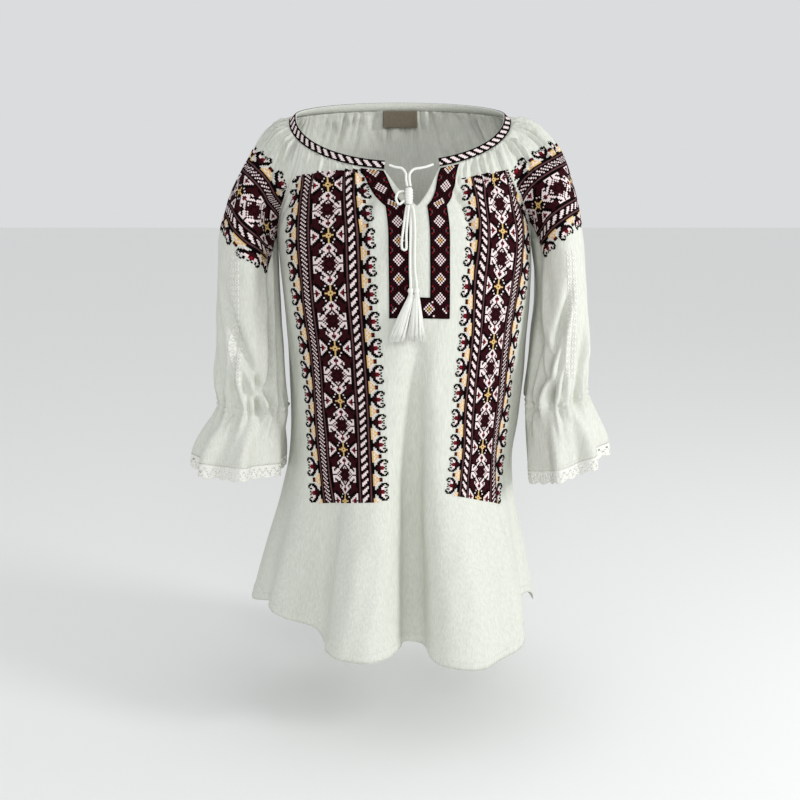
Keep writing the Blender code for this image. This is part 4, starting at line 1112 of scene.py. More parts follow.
def stitches(name, points, normals, letters, filled, lift=0.0, root=STITCH_ROOT):
    """Cross stitches over every filled cell. points and normals are grids with two
    steps a stitch, and letters says each cell's thread."""
    keys = sorted(set(letters[filled].tolist()))
    rows, columns = points.shape[:2]
    row_odd = (np.arange(rows) % 2)[:, None]
    column_odd = (np.arange(columns) % 2)[None, :]
    height = np.where(row_odd == column_odd, STITCH_HIGH, STITCH_LOW)
    top = points + normals * (height + lift)[..., None]
    under = points + normals * (root + lift)
    number = np.arange(rows * columns).reshape(rows, columns)
    total = rows * columns
    r, c = np.nonzero(filled)
    ring = [number[2 * r + a, 2 * c + b] for a, b in STITCH_FIELDS]
    centre = number[2 * r + 1, 2 * c + 1]
    colour = np.array([keys.index(letter) for letter in letters[filled]])
    faces = []
    index = []
    for k in range(8):
        faces.append(np.stack([centre, ring[(k + 1) % 8], ring[k]], -1))
        index.append(colour)
    faces = np.concatenate(faces).tolist()
    index = np.concatenate(index).tolist()
    floor = np.stack([ring[0], ring[2], ring[4], ring[6]], -1) + total
    faces += floor.tolist()
    index += colour.tolist()
    padded = np.pad(filled, 1)
    for k, (dr, dc) in enumerate([(-1, 0), (0, 1), (1, 0), (0, -1)]):
        open_side = ~padded[1 + dr + r, 1 + dc + c]
        a, b, d = ring[2 * k][open_side], ring[2 * k + 1][open_side], ring[(2 * k + 2) % 8][open_side]
        faces += np.stack([a, b, d, d + total, a + total], -1).tolist()
        index += colour[open_side].tolist()
    everything = np.concatenate([top.reshape(-1, 3), under.reshape(-1, 3)])
    used = np.unique(np.concatenate([np.array(face) for face in faces]))
    renumber = np.zeros(2 * total, int)
    renumber[used] = np.arange(len(used))
    faces = [tuple(renumber[face].tolist()) for face in faces]
    print(f"{name}: {len(r)} stitches")
    return add_piece(name, everything[used], faces, [THREADS[key] for key in keys], index)


# %% Embroider a band
def embroider(name, layers, line, widths, first_row, limits, mirror=False):
    """A charted band along the places of a line on one cloth."""
    grid, outer, normal = layers
    places, inside = lay_band(grid, line, widths, BAND_CELLS, limits)
    count = (len(places) - 1) // 2
    chart = np.array([list(band_row(row + first_row)) for row in range(count)])
    if mirror:
        chart = chart[:, ::-1]
    whole = inside[:-2:2, :-2:2] & inside[2::2, :-2:2] & inside[:-2:2, 2::2] & inside[2::2, 2::2]
    filled = (chart != ".") & whole
    stitches(name, sample(outer, places), unit(sample(normal, places)), chart, filled)


# %% [markdown]
# ## The four embroidered bands
# The front bands hang from the gathers beside the slit to above the waist. Their
# middle lines are given by the places of their seven stars, 38 chart rows apart,
# and a stitch's width there: gathered cloth draws the stitches narrower. The
# sleeve bands cross the upper arm from the front raglan seam to the back one, and
# below them two ladders of white stitches run down the front of each arm.

# %% Front bands
SPINE_FIELDS = ("row", "z", "x", "minus_width", "plus_width")
FRONT_SPINES = {
    "embroidery_front_right": [
        (9, -0.0620, -0.0803, 1.75, 1.60), (19, -0.0763, -0.0807, 1.90, 1.62),
        (57, -0.1318, -0.0800, 2.32, 1.80), (95, -0.1958, -0.0778, 2.28, 1.86),
        (133, -0.2584, -0.0733, 2.05, 1.86), (171, -0.3206, -0.0696, 1.90, 1.82),
        (209, -0.3774, -0.0664, 1.82, 1.79), (247, -0.4363, -0.0634, 1.78, 1.77),
        (249, -0.4394, -0.0633, 1.78, 1.77)],
    "embroidery_front_left": [
        (13, -0.0635, 0.1050, 1.40, 1.50), (19, -0.0709, 0.1067, 1.45, 1.62),
        (57, -0.1283, 0.1165, 1.60, 2.05), (95, -0.1901, 0.1112, 1.60, 1.95),
        (133, -0.2530, 0.1068, 1.55, 1.50), (171, -0.3151, 0.1014, 1.53, 1.45),
        (209, -0.3771, 0.0964, 1.52, 1.50), (247, -0.4354, 0.0913, 1.55, 1.62),
        (249, -0.4385, 0.0910, 1.55, 1.62)],
}
EDGE_COLUMNS = 0.8
last_column = 2 * FRONT_HALF_CELLS + 1
FRONT_LIMITS = {
    "embroidery_front_right": (EDGE_COLUMNS, FRONT_HALF_CELLS - 1.0),
    "embroidery_front_left": (FRONT_HALF_CELLS + 2.0, last_column - EDGE_COLUMNS),
}


# %% Find the front bands on the cloth
def place_at(grid, x, z, start):
    """The place on a grid that has this x and z."""
    place = np.array(start, float)
    for _ in range(30):
        here = sample(grid, place)
        over, down = step_on(grid, place, here)[1:]
        slope = np.array([[over[0], down[0]], [over[2], down[2]]])
        move = np.linalg.solve(slope, np.array([x - here[0], z - here[2]]))
        place = place + np.clip(move, -4.0, 4.0)
        if np.abs(move).max() < 1e-3:
            break
    return place


def front_line(rows, start):
    """The places of a front band's middle at every half stitch, and its widths."""
    first, last = rows[0][0], rows[-1][0]
    chart_rows = np.arange(first, last + 0.25, 0.5)
    x, z, minus, plus = [smooth(SPINE_FIELDS, rows, name, chart_rows)
                         for name in ("x", "z", "minus_width", "plus_width")]
    places = np.zeros((len(chart_rows), 2))
    for number in range(len(chart_rows)):
        start = place_at(front_base, x[number], z[number], start)
        places[number] = start
    return places, {-1: minus * MM, 1: plus * MM}


# %% Make the front bands
front_layers = (front_base, front_outer, front_normal)
# Each band's first guess is this share of the columns, on this row of the grid.
FIRST_GUESS_ROW = 12.0
for name, first_share, mirror in (("embroidery_front_right", 0.27, False),
                                  ("embroidery_front_left", 0.76, True)):
    rows = FRONT_SPINES[name]
    line, widths = front_line(rows, (first_share * last_column, FIRST_GUESS_ROW))
    embroider(name, front_layers, line, widths, rows[0][0], FRONT_LIMITS[name], mirror)

# %% Sleeve bands
SLEEVE_SPINES = {
    -1: [(0.965, 1.02), (0.845, 0.955), (0.695, 0.842), (0.562, 0.748), (0.448, 0.688), (0.282, 0.642),
         (0.0, 0.630)],
    1: [(0.965, 0.860), (0.825, 0.745), (0.668, 0.670), (0.450, 0.630), (0.250, 0.620), (0.0, 0.620)],
}
SLEEVE_LINE_POINTS = 1201
SLEEVE_LINE_WINDOW = 101
SLEEVE_LIMITS = (EDGE_COLUMNS, SLEEVE_CELLS - EDGE_COLUMNS)


def even_steps(grid, places):
    """The places of a line again, half a stitch apart on the cloth."""
    run = run_along(sample(grid, places))
    even = np.arange(0.0, run[-1], STITCH / 2)
    even = even[:len(even) - (1 - len(even) % 2)]
    return even_points(places, run, even)


def full_width(line):
    """The widths of a band whose stitches aren't drawn narrower."""
    return {side: np.full(len(line), STITCH) for side in (-1, 1)}


def sleeve_line(grid, side):
    """The places of a sleeve band's middle, from the front seam over the arm."""
    front = [(-around, down) for around, down in SLEEVE_SPINES[side]]
    back = [(around, down) for around, down in SLEEVE_SPINES[side][-2::-1]]
    rows = front + back
    around = np.linspace(rows[0][0], rows[-1][0], SLEEVE_LINE_POINTS)
    down = smooth(("around", "down"), rows, "down", around)
    down = smooth_rows(down[:, None], SLEEVE_LINE_WINDOW)[:, 0]
    places = np.stack([(around + 1) / 2 * SLEEVE_CELLS, row_at(down, SLEEVE_ROWS)], -1)
    return even_steps(grid, places)


for side, name in ((-1, "embroidery_sleeve_right"), (1, "embroidery_sleeve_left")):
    sleeve = sleeves[side]
    line = sleeve_line(sleeve["base"], side)
    embroider(name, (sleeve["base"], sleeve["outer"], sleeve["normal"]), line, full_width(line), 0,
              SLEEVE_LIMITS, True)

# %% White ladders down the arms
LADDER_CHART = ["ccc.ccc", "c.c.c.c", ".c...c.", "c.c.c.c"]
LADDER_COLUMN = 36.0
LADDER_DOWN = (1.04, 1.64)
LADDER_POINTS = 300
SEWING_THREAD = thread("white_sewing_cotton", "#DADBD3", "#EDEEE7", 0.9)
THREADS["c"] = SEWING_THREAD


# %% Make the ladders
def embroider_ladder(side, name):
    """Two ladders of raised white stitches, side by side down the front of the arm."""
    sleeve = sleeves[side]
    rows = row_at(LADDER_DOWN, SLEEVE_ROWS)
    straight = np.stack([np.full(LADDER_POINTS, LADDER_COLUMN), np.linspace(*rows, LADDER_POINTS)], -1)
    line = even_steps(sleeve["base"], straight)
    places = lay_band(sleeve["base"], line, full_width(line), len(LADDER_CHART[0]), SLEEVE_LIMITS)[0]
    count = (len(places) - 1) // 2
    chart = np.array([list(LADDER_CHART[row % len(LADDER_CHART)]) for row in range(count)])
    stitches(name, sample(sleeve["outer"], places), unit(sample(sleeve["normal"], places)), chart,
             chart != ".")


for side, name in ((-1, "openwork_right"), (1, "openwork_left")):
    embroider_ladder(side, name)

# %% [markdown]
# ## The placket and the neckband
# A stitched strip frames the slit: two legs and a bar under them, all on black and
# garnet, with checkered diamonds that are gold and rose by turns. One grid holds
# both legs and the bar, and the slit's own cells stay empty. The neckband is
# stitched black, with slanted white marks between its first and last rows.

# %% Placket layout
PLACKET_WIDTH = 0.023
PLACKET_BAR_TOP_Z = -0.201
PLACKET_BAR_FOOT_Z = -0.2235
LEG_CELLS = 13
PLACKET_ROW = 1.95 * MM
PLACKET_ROOT = -0.6 * MM
PLACKET_LIFT = 0.7 * MM
DIAMOND_PERIOD = 11
DIAMOND_REACH = 3
LEG_MIDDLE = 6
BAR_DIAMONDS = (13, 25)
BAR_MIDDLE_ROW = 5
CORNER_MARKS = ((8, 5), (9, 4), (10, 3), (1, 9), (2, 1))
DOWN_POINTS = 401
LEG_POINTS = 600
LEG_TOP = 0.012


def down_for_height(z):
    """The place down the front's centre line at a height."""
    downs = np.linspace(0.0, 2.0, DOWN_POINTS)
    return np.interp(-z, -panel_base(0.1, downs, -1)[:, 2], downs)


def front_place(share, down):
    """The place on the front's grid of a share of a half panel."""
    column = np.where(share <= 0, (share + 1) * FRONT_HALF_CELLS,
                      FRONT_HALF_CELLS + 1 + share * FRONT_HALF_CELLS)
    return np.stack([column, row_at(down, FRONT_ROWS)], -1)


def placket_downs():
    """Places down the legs, half a stitch apart, counted up from the bar's foot."""
    down = np.linspace(LEG_TOP, down_for_height(PLACKET_BAR_FOOT_Z), LEG_POINTS)
    share = across_share(placket_inner(down) + PLACKET_WIDTH / 2, down)
    leg = panel_base(slit_across(share, down), down, -1)
    run = run_along(leg)
    rows = int(run[-1] / PLACKET_ROW)
    return np.interp(run[-1] - np.arange(2 * rows + 1) * PLACKET_ROW / 2, run, down)[::-1]


# %% The placket's chart
def placket_letter(column, row):
    """The thread of one stitch. row counts up from the foot of the bar."""
    leg = LEG_CELLS - 1 - column if column < LEG_CELLS else column - 2 * LEG_CELLS
    if leg < 0 or row < LEG_CELLS - 2:
        away = min(abs(column - middle) for middle in BAR_DIAMONDS) + abs(row - BAR_MIDDLE_ROW)
        if away <= DIAMOND_REACH:
            return ("y" if away <= 2 else "w") if (column + row) % 2 else "k"
    if leg >= 0:
        turn = (row - DIAMOND_PERIOD) % DIAMOND_PERIOD
        turn = min(turn, DIAMOND_PERIOD - turn)
        away = abs(leg - LEG_MIDDLE) + turn
        gold = round((row - DIAMOND_PERIOD) / DIAMOND_PERIOD) % 2 == 1
        if row >= DIAMOND_PERIOD - DIAMOND_REACH and away <= DIAMOND_REACH:
            if (leg + turn) % 2 == DIAMOND_REACH % 2:
                return "y" if gold and away <= 2 else "w"
            return "rg"[away > 1]
        if turn == 5 and leg in (2, 10):
            return "m"
        if turn == 4 and leg in (1, 11):
            return "r"
        if (leg, row) in CORNER_MARKS:
            return "w"
        return "g" if 0 < leg < 12 and (leg + turn) % 2 else "k"
    return "g" if (column + row) % 2 and 0 < row < LEG_CELLS - 2 else "k"


# %% Make the placket
placket_down = placket_downs()
placket_rows = (len(placket_down) - 1) // 2
step = np.arange(2 * 3 * LEG_CELLS + 1) - 3 * LEG_CELLS
deep = np.broadcast_to(placket_down[:, None], (len(placket_down), len(step)))
beyond = np.clip(np.abs(step) - LEG_CELLS, 0, None) / (2 * LEG_CELLS)
within = np.clip(np.abs(step) / LEG_CELLS, 0, 1)
distance = placket_inner(deep) * within + PLACKET_WIDTH * beyond
placket_place = front_place(np.sign(step) * across_share(distance, deep), deep)
placket_points = sample(front_outer, placket_place)
placket_normals = unit(sample(front_normal, placket_place))
letters = np.array([[placket_letter(column, placket_rows - 1 - row) for column in range(3 * LEG_CELLS)]
                    for row in range(placket_rows)])
bar_row = int(np.argmin(np.abs(placket_down[::2] - down_for_height(PLACKET_BAR_TOP_Z))))
filled = np.ones(letters.shape, bool)
filled[:bar_row, LEG_CELLS:2 * LEG_CELLS] = False
placket = stitches("placket_stitches", placket_points, placket_normals, letters, filled, PLACKET_LIFT,
                   PLACKET_ROOT)
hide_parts("placket_band")

# %% Make the neckband
BAND_CELLS_HIGH = 6
BAND_MARK = 6
BAND_MARK_SHARE = 0.36
BAND_POINTS = 1500


def band_angles(step):
    """Angles from the slit's left edge round the back to its right edge, evenly spaced."""
    first, second = [float(panel_angles(np.array(side * SLIT_MOUTH), -1)[0]) for side in (-1, 1)]
    fine = np.linspace(second, first + 360.0, BAND_POINTS)
    run = run_along(band_centre(fine))
    cells = int(run[-1] / step)
    even = np.interp(np.linspace(0.0, run[-1], 2 * cells + 1), run, fine)
    return np.where(even > 180.0, even - 360.0, even), run[-1]


angles, band_length = band_angles(STITCH)
up, out, centre = band_up(angles), band_out(angles), band_centre(angles)
height = np.linspace(-BAND_HEIGHT / 2, BAND_HEIGHT / 2, 2 * BAND_CELLS_HIGH + 1)
BAND_BODY = BAND_THICKNESS - STITCH_HIGH
band_skin = centre[None] + up[None] * height[:, None, None] + out[None] * (BAND_BODY - BAND_THICKNESS / 2)
band_inner = centre[None] + up[None] * height[:, None, None] - out[None] * BAND_THICKNESS / 2
neckband = wall("neckband_cloth", band_skin[::-1][::BAND_CELLS_HIGH, ::2],
                band_inner[::-1][::BAND_CELLS_HIGH, ::2], GAUZE)
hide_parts("neckband")
columns = np.arange((len(angles) - 1) // 2)
turn = (columns[None, :] + np.arange(BAND_CELLS_HIGH)[:, None]) / BAND_MARK
letters = np.where(turn % 1.0 < BAND_MARK_SHARE, "w", "k")
letters[[0, -1]] = "k"
out_grid = np.broadcast_to(out[None], band_skin.shape)
stitches("neckband_stitches", band_skin, out_grid, letters, np.ones(letters.shape, bool))
print("neckband:", round(band_length * 1000), "mm long")

# %% [markdown]
# ## Lace, label and seams
# Crocheted lace edges both cuffs, 16 mm high, with rows of holes and a
# scalloped foot. The holes are real: their cells are left out of the wall. The
# label is a blank woven tape with its ends turned under. Small stitches of white
# sewing thread hold the hems and the two sides of the elastic's casing.

# %% Lace
LACE_TOP = 2.0
LACE_FOOT = 2.06
LACE_SEAM = 0.0012
SCALLOPS = 22
SCALLOP_DEPTH = 0.22
LACE_CELLS = 12
LACE_ROWS = 14
LACE_THICKNESS = 1.0 * MM
LACE_HOLE_ROWS = (3, 4, 8, 9)
LACE_SMALL_HOLES = {6: 3, 11: 4}
LACE_SHIFT_ROW = 6
LACE_SHIFT = 3
LACE_HOLE_PITCH = 6
LACE_RIB_ROWS = 5
LACE_RIB_MM = 0.25
LACE_GRAIN_CELLS = 3
LACE_GRAIN_MM = 0.3


def make_lace(side, name, node, seed):
    """A scalloped wall under one cuff, with its holes left out."""
    around = np.linspace(-1, 1, SCALLOPS * LACE_CELLS + 1)
    curve = np.abs(np.sin(math.pi * SCALLOPS * (around + 1) / 2)) ** 0.7
    t = np.linspace(0, 1, LACE_ROWS + 1)[:, None]
    down = LACE_TOP + LACE_SEAM + (LACE_FOOT - LACE_TOP - LACE_SEAM) * t * (1 - SCALLOP_DEPTH * (1 - curve))
    wide = np.broadcast_to(around, down.shape)
    rough = sleeve_base(side, wide, down)
    lift = creases(rough, seed, *ARM_CREASES) * (1 - np.abs(wide) ** 12)
    ribs = np.cos(2 * math.pi * LACE_ROWS / LACE_RIB_ROWS * t) * LACE_RIB_MM * MM
    grain = np.cos(math.pi * SCALLOPS * LACE_CELLS / LACE_GRAIN_CELLS * (wide + 1))
    lift = lift + ribs + LACE_GRAIN_MM * MM * grain
    outer, normal = sleeve_surface(side, wide, down, lift)[1:]
    inner = outer - normal * LACE_THICKNESS
    for layer in (outer, inner):
        layer[:, 0] = layer[:, -1] = 0.5 * (layer[:, 0] + layer[:, -1])
    row, column = np.meshgrid(np.arange(LACE_ROWS), np.arange(SCALLOPS * LACE_CELLS), indexing="ij")
    shifted = column + np.where(row > LACE_SHIFT_ROW, LACE_SHIFT, 0)
    hole = np.isin(row, LACE_HOLE_ROWS) & np.isin(shifted % LACE_HOLE_PITCH, (2, 3))
    for small_row, pitch in LACE_SMALL_HOLES.items():
        hole |= (row == small_row) & (column % pitch == 1)
    lace = wall(name, outer, inner, LACE_COTTON, ~hole, range(LACE_ROWS + 1), (0, SCALLOPS * LACE_CELLS))
    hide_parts(node)


make_lace(-1, "lace_edge_right", "lace_right", 23)
make_lace(1, "lace_edge_left", "lace_left", 33)

# %% Label
LABEL_WIDTH = 0.042
LABEL_HEIGHT = 0.020
LABEL_CLEAR = 2.6 * MM
LABEL_THICKNESS = 0.8 * MM
LABEL_TURN = 3.0 * MM
x, drop = np.meshgrid(np.linspace(-LABEL_WIDTH / 2, LABEL_WIDTH / 2, 29), np.linspace(0.0, LABEL_HEIGHT, 13))
angle = 180.0 - np.degrees(np.arcsin(x / BAND_HALF_WIDTH))
turned = 1.0 - ease((LABEL_WIDTH / 2 - np.abs(x) - LABEL_TURN) / (0.6 * MM))
weave = 0.08 * MM * np.cos(2 * math.pi * drop / (2.5 * MM))
face = neck_edge(angle) - vec(0.0, LABEL_CLEAR, 0.0) + vec(0.0, 0.0, -drop)
front_face = face - vec(0.0, LABEL_THICKNESS + 0.35 * MM * turned + weave, 0.0)
label = wall("blank_neck_label", front_face, face, LABEL_TAPE)
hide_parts("neck_label")


# %% Seam stitches
SEAM_PITCH = 3.2 * MM
SEAM_LENGTH = 2.2 * MM
SEAM_WIDTH = 0.35 * MM
SEAM_HEIGHT = 0.35 * MM
LACE_SEAM_ROW = 1.988
HEM_POINTS = 700
RING_POINTS = 500


def running_stitches(name, lines):
    """A row of small sewn stitches along each line of points and normals."""
    points, faces = [], []
    for path, normals in lines:
        run = run_along(path)
        starts = np.arange(SEAM_PITCH / 2, run[-1] - SEAM_LENGTH, SEAM_PITCH)
        ends = [even_points(path, run, at) for at in (starts, starts + SEAM_LENGTH)]
        up = unit(even_points(normals, run, starts))
        over = unit(np.cross(ends[1] - ends[0], up)) * SEAM_WIDTH
        for a, b, u, w in zip(ends[0], ends[1], up, over):
            n = len(points)
            low, high = -0.1 * MM * u, SEAM_HEIGHT * u
            points += [a - w + low, a + w + low, b + w + low, b - w + low,
                       a - w / 2 + high, a + w / 2 + high, b + w / 2 + high, b - w / 2 + high]
            faces += [(n + 3, n + 2, n + 1, n), (n + 4, n + 5, n + 6, n + 7)]
            faces += [(n + k, n + (k + 1) % 4, n + 4 + (k + 1) % 4, n + 4 + k) for k in range(4)]
    add_piece(name, points, faces, [SEWING_THREAD])


# %% Sew the hems and cuffs
def hem_line(outer, normal, rows, height):
    """The line on a panel this far above its foot."""
    row = row_at(2.0 - height / (ARMPIT_Z - HEM_Z), rows)
    place = np.stack([np.linspace(0.5, outer.shape[1] - 1.5, HEM_POINTS), np.full(HEM_POINTS, row)], -1)
    return sample(outer, place), unit(sample(normal, place))


def sleeve_ring(side, down):
    """The line round a sleeve at this place down it."""
    sleeve = sleeves[side]
    row = row_at(down, SLEEVE_ROWS)
    place = np.stack([np.linspace(0.5, SLEEVE_CELLS - 0.5, RING_POINTS), np.full(RING_POINTS, row)], -1)
    return sample(sleeve["outer"], place), unit(sample(sleeve["normal"], place))


running_stitches("hem_stitches", [hem_line(front_outer, front_normal, FRONT_ROWS, HEM_FOLD_HEIGHT),
                                  hem_line(back_outer, back_normal, BACK_ROWS, HEM_FOLD_HEIGHT)])
CUFF_LINES = (ELASTIC_DOWN - CASING_HALF, ELASTIC_DOWN + CASING_HALF, LACE_SEAM_ROW)
for side, name in ((-1, "cuff_stitches_right"), (1, "cuff_stitches_left")):
    running_stitches(name, [sleeve_ring(side, down) for down in CUFF_LINES])

# %% [markdown]
# ## The tie
# A cord of three white cotton plies, 3 mm thick, comes out at both ends of the
# neckband. It is tied in a bow with one short and one long loop, and each tail
# ends in a tassel. A tube whose section has three lobes that turn along it looks
# like laid plies. The routes are the solids' own, so cords stay where they are.

# %% Cord routes
CORD = 3.0 * MM
CORD_STEP = 2.4
TAIL_DROP = 4.0 * MM
IN_TASSEL = 8.0 * MM
TIE_ROUTES = {
    "tie_right": [
        (-0.0125, -0.0553, 0.0045), (-0.0040, -0.0580, 0.0056), (0.0030, -0.0595, 0.0064),
        (0.0062, -0.0640, 0.0066), (0.0068, -0.0720, 0.0062), (0.0082, -0.0788, 0.0062)],
    "tie_left": [
        (0.0372, -0.0545, 0.0045), (0.0270, -0.0580, 0.0056), (0.0160, -0.0598, 0.0064),
        (0.0112, -0.0640, 0.0068), (0.0106, -0.0720, 0.0064), (0.0117, -0.0788, 0.0062)],
    "bow_loop_short": [
        (0.0048, -0.0836, 0.0062), (0.0010, -0.0830, 0.0066), (-0.0033, -0.0870, 0.0068),
        (-0.0042, -0.0930, 0.0066), (-0.0018, -0.0975, 0.0062), (0.0024, -0.0968, 0.0058),
        (0.0047, -0.0938, 0.0058)],
    "bow_loop_long": [
        (0.0076, -0.0987, 0.0056), (0.0058, -0.1100, 0.0052), (0.0032, -0.1280, 0.0046),
        (0.0018, -0.1400, 0.0046), (0.0030, -0.1470, 0.0046), (0.0058, -0.1485, 0.0046),
        (0.0070, -0.1430, 0.0046), (0.0070, -0.1300, 0.0046), (0.0082, -0.1130, 0.0058),
        (0.0098, -0.0984, 0.0090)],
    "tail_right": [
        (0.0120, -0.0984, 0.0044), (0.0120, -0.1100, 0.0038), (0.0116, -0.1300, 0.0036),
        (0.0112, -0.1500, 0.0036), (0.0112, -0.1700, 0.0042), (0.0118, -0.1840, 0.0066)],
    "tail_left": [
        (0.0132, -0.0984, 0.0082), (0.0154, -0.1080, 0.0060), (0.0166, -0.1280, 0.0042),
        (0.0162, -0.1500, 0.0040), (0.0166, -0.1700, 0.0044), (0.0184, -0.1840, 0.0068)],
}
BODY_HALF_WIDTH = 0.14


def front_at(x, z, lift):
    """A point this far in front of the cloth, at an x and a height near the centre."""
    place = np.array([x / BODY_HALF_WIDTH, down_for_height(z)])
    step = 1e-4
    for _ in range(8):
        here = panel_base(place[0], place[1], -1)
        over = (panel_base(place[0] + step, place[1], -1) - here) / step
        along = (panel_base(place[0], place[1] + step, -1) - here) / step
        slope = np.array([[over[0], along[0]], [over[2], along[2]]])
        place = place + np.linalg.solve(slope, np.array([x - here[0], z - here[2]]))
        place[1] = max(place[1], 0.0)
    return np.array([x, panel_base(place[0], place[1], -1)[1] - lift, z])


# %% Smooth routes
def through(points, step):
    """Even points along the smooth curve through a route's own points."""
    points = np.array(points)
    padded = np.concatenate([[2 * points[0] - points[1]], points, [2 * points[-1] - points[-2]]])
    fine = []
    for i in range(1, len(padded) - 2):
        before, start, end, after = padded[i - 1:i + 3]
        for t in np.linspace(0, 1, 12, endpoint=False):
            fine.append(0.5 * (2 * start + (end - before) * t
                               + (2 * before - 5 * start + 4 * end - after) * t ** 2
                               + (3 * start - before - 3 * end + after) * t ** 3))
    fine = np.array(fine + [points[-1]])
    run = run_along(fine)
    even = np.linspace(0.0, run[-1], max(2, int(round(run[-1] / step))) + 1)
    return even_points(fine, run, even), run[-1]


# %% Cord mesh
CORD_RING = 0.45 * MM
CORD_SIDES = 18
PLIES = 3
PLY_LAY = 8.0 * MM
PLY_GROOVE = 0.24
# A cord's end is rounded over one part in this many of its length.
CORD_END_PARTS = 40


def tube(path, radius):
    """Rings of points round a path. radius is a function of angle, run and share."""
    ahead = unit(np.gradient(path, axis=0))
    side = np.zeros_like(path)
    side[0] = unit(np.cross(ahead[0], [0.3, 1.0, 0.2]))
    for k in range(1, len(path)):
        side[k] = unit(side[k - 1] - ahead[k] * np.dot(side[k - 1], ahead[k]))
    other = np.cross(ahead, side)
    run = run_along(path)
    theta = np.arange(CORD_SIDES) / CORD_SIDES * 2 * math.pi
    r = radius(theta[None, :], run[:, None], run[:, None] / run[-1])[..., None]
    return path[:, None] + r * (np.cos(theta)[None, :, None] * side[:, None]
                                + np.sin(theta)[None, :, None] * other[:, None])


def ring_faces(rings, sides, start=0):
    """Faces of a closed tube whose rings of points follow one another."""
    faces = [tuple(start + k for k in range(sides))[::-1]]
    for ring in range(rings - 1):
        for k in range(sides):
            j = (k + 1) % sides
            a, b = start + ring * sides, start + (ring + 1) * sides
            faces.append((a + k, a + j, b + j, b + k))
    last = start + (rings - 1) * sides
    return faces + [tuple(last + k for k in range(sides))]


def plied(theta, run, share):
    """The radius of a laid cord: three plies, with rounded ends."""
    ply = np.abs(np.cos(PLIES / 2 * (theta - 2 * math.pi * run / PLY_LAY)))
    past_end = np.clip(1 - np.minimum(share, 1 - share) * CORD_END_PARTS, 0, 1)
    end = np.sqrt(np.clip(1 - past_end ** 2, 0.15, 1))
    return CORD / 2 * (1 - PLY_GROOVE * (1 - ply)) * end


# %% Make the cords
cords = {}
for name, route in TIE_ROUTES.items():
    points = [front_at(*row) for row in route]
    is_tail = name.startswith("tail")
    if is_tail:
        points.append(points[-1] - np.array([0.0, 0.0, TAIL_DROP]))
    coarse = through(points, CORD * CORD_STEP)[0]
    seat = coarse[-1]
    if is_tail:
        coarse = np.concatenate([coarse, [seat - np.array([0.0, 0.0, IN_TASSEL])]])
    path, length = through(coarse, CORD_RING)
    rings = tube(path, plied)
    cord = add_piece(name + "_cord", rings.reshape(-1, 3), ring_faces(len(path), CORD_SIDES), [CORD_COTTON])
    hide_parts(name)
    cords[name] = {"piece": cord, "path": path, "length": length, "seat": seat}
    print(name, round(length * 1000, 1), "mm")

# %% Knot
KNOT_CENTRE = front_at(0.0100, -0.0888, 0.0062)
KNOT_HALF = (0.0044, 0.0042, 0.0092)
KNOT_TURN = 3.1 * MM
KNOT_RINGS = 46
KNOT_SIDES = 36
KNOT_ROUND_OFF = 0.42
KNOT_GROOVE = 0.18
theta = np.arange(KNOT_SIDES) / KNOT_SIDES * 2 * math.pi
share = np.linspace(1.0, -1.0, KNOT_RINGS)
coil = np.abs(np.cos(math.pi * share[:, None] * KNOT_HALF[2] / KNOT_TURN + theta[None, :] / 2))
fine = 0.04 * np.cos(theta[None, :] * 9 + 26 * share[:, None])
round_off = (1 - KNOT_ROUND_OFF * np.abs(share) ** 6)[:, None]
width = round_off * (0.82 + KNOT_GROOVE * coil + fine)
knot_points = KNOT_CENTRE + vec(KNOT_HALF[0] * width * np.cos(theta), KNOT_HALF[1] * width * np.sin(theta),
                                KNOT_HALF[2] * share[:, None])
knot = add_piece("bow_knot_wraps", knot_points.reshape(-1, 3), ring_faces(KNOT_RINGS, KNOT_SIDES),
                 [CORD_COTTON])
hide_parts("bow_knot")

# %% [markdown]
# ## The tassels
# A tassel is a bundle of yarns folded over the cord and bound below the fold. The
# head is a small turned form with the binding's rings, and the skirt is made of
# separate yarns, each a thin bent tube with its own length and lean.

# %% Tassels
TASSEL_HEAD = 3.1 * MM
TASSEL_LENGTH = 0.050
TASSEL_FORWARD = 0.11
TASSEL_FOOT = -9.5 * MM
TASSELS = {
    "tassel_right": {"tail": "tail_right", "lean": -0.35, "spread": 7.2 * MM, "seed": 41},
    "tassel_left": {"tail": "tail_left", "lean": -0.005, "spread": 8.7 * MM, "seed": 42},
}
STRANDS = 250
STRAND_RADIUS = 0.50 * MM
STRAND_SIDES = 5
STRAND_TAPER = 0.35
STRAND_SWAY = 0.6 * MM
SHORTEST_STRAND = 0.90
ROOTS_IN_HEAD = 0.88
SKIRT_FLATNESS = 0.22
STRAND_RINGS = 7
HEAD_SIDES = 24
HEAD_RINGS = [(0.45, 0.0), (0.80, -0.7), (0.98, -1.9), (1.02, -3.2), (0.95, -4.6), (0.74, -5.4),
              (0.80, -5.9), (0.72, -6.3), (0.80, -6.8), (0.74, -7.3), (0.88, -8.2), (0.96, -9.5)]


def tassel_head(seat):
    """Rings of points for the bound head, from the seat down."""
    theta = np.arange(HEAD_SIDES) / HEAD_SIDES * 2 * math.pi
    rows = np.array(HEAD_RINGS)
    groove = 1 + 0.05 * np.cos(12 * theta)[None, :]
    width = rows[:, :1] * TASSEL_HEAD * groove
    return seat + vec(width * np.cos(theta), width * np.sin(theta), rows[:, 1:] * MM)


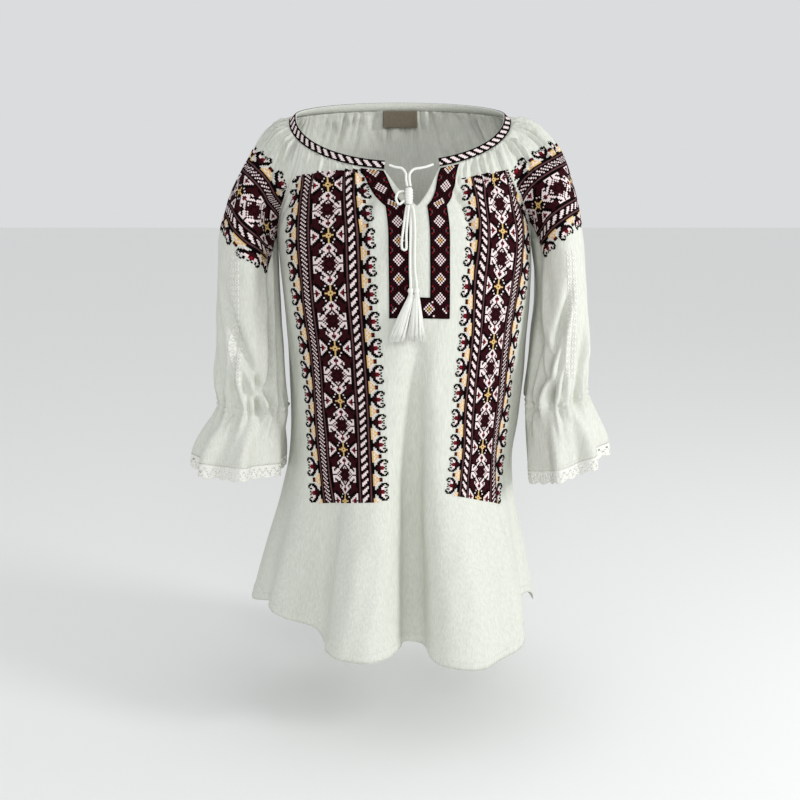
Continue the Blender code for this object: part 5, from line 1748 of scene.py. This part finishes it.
# %% Make the tassels
def make_tassel(name, tail, lean, spread, seed):
    """The bound head and its skirt of yarns, under the end of a tail."""
    seat = cords[tail]["seat"] - np.array([0.0, 0.0, SEAM_GAP])
    head = tassel_head(seat)
    points = list(head.reshape(-1, 3))
    faces = ring_faces(len(HEAD_RINGS), HEAD_SIDES)
    rng = np.random.default_rng(seed)
    t = np.linspace(-0.03, 1.0, STRAND_RINGS)
    theta = np.arange(STRAND_SIDES) / STRAND_SIDES * 2 * math.pi
    for _ in range(STRANDS):
        around = rng.uniform(0.0, 2 * math.pi)
        from_middle = TASSEL_HEAD * ROOTS_IN_HEAD * math.sqrt(rng.uniform(0.0, 1.0))
        root = (from_middle * math.cos(around), from_middle * math.sin(around))
        reach = TASSEL_LENGTH * rng.uniform(SHORTEST_STRAND, 1.0)
        sway = rng.normal(0.0, STRAND_SWAY) * np.sin(rng.uniform(2.0, 5.0) * t + rng.uniform(0.0, 3.0))
        opened = spread * np.clip(t, 0, 1) ** 0.8 / TASSEL_HEAD
        path = seat + vec(root[0] * (1 + opened) + lean * reach * t + sway * np.clip(t, 0, 1),
                          root[1] * (1 + opened * SKIRT_FLATNESS) - TASSEL_FORWARD * reach * t,
                          TASSEL_FOOT - reach * t)
        thin = STRAND_RADIUS * (1.0 - STRAND_TAPER * np.clip(t, 0, 1))[:, None, None]
        ring = path[:, None] + thin * vec(np.cos(theta), np.sin(theta), 0.0)[None]
        faces += ring_faces(STRAND_RINGS, STRAND_SIDES, len(points))
        points += list(ring.reshape(-1, 3))
    tassel = add_piece(name + "_yarns", points, faces, [CORD_COTTON])
    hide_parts(name)


for name, row in TASSELS.items():
    make_tassel(name, **row)

# %% [markdown]
# ## The cloth's areas
# For the cloth, the lace, the label, the neckband and the placket, half the area
# of each piece's faces is printed, which is about one face of the cloth. The real
# cut is wider, because real gathers take in more.

# %% Cords
TIE_EXITS = {"tie_right": ["bow_knot_wraps", "bow_loop_short_cord"], "tie_left": [], "bow_loop_long": [],
             "tail_right": ["tassel_right_yarns"], "tail_left": ["tassel_left_yarns"]}
for name, with_names in TIE_EXITS.items():
    cord = cords[name]

for name, piece in PIECES.items():
    area = sum(polygon.area for polygon in piece.data.polygons) / 2
    if name.startswith(("cloth", "lace", "blank", "neckband", "placket")):
        print(name, "cloth area", round(area * 1e4), "cm2")
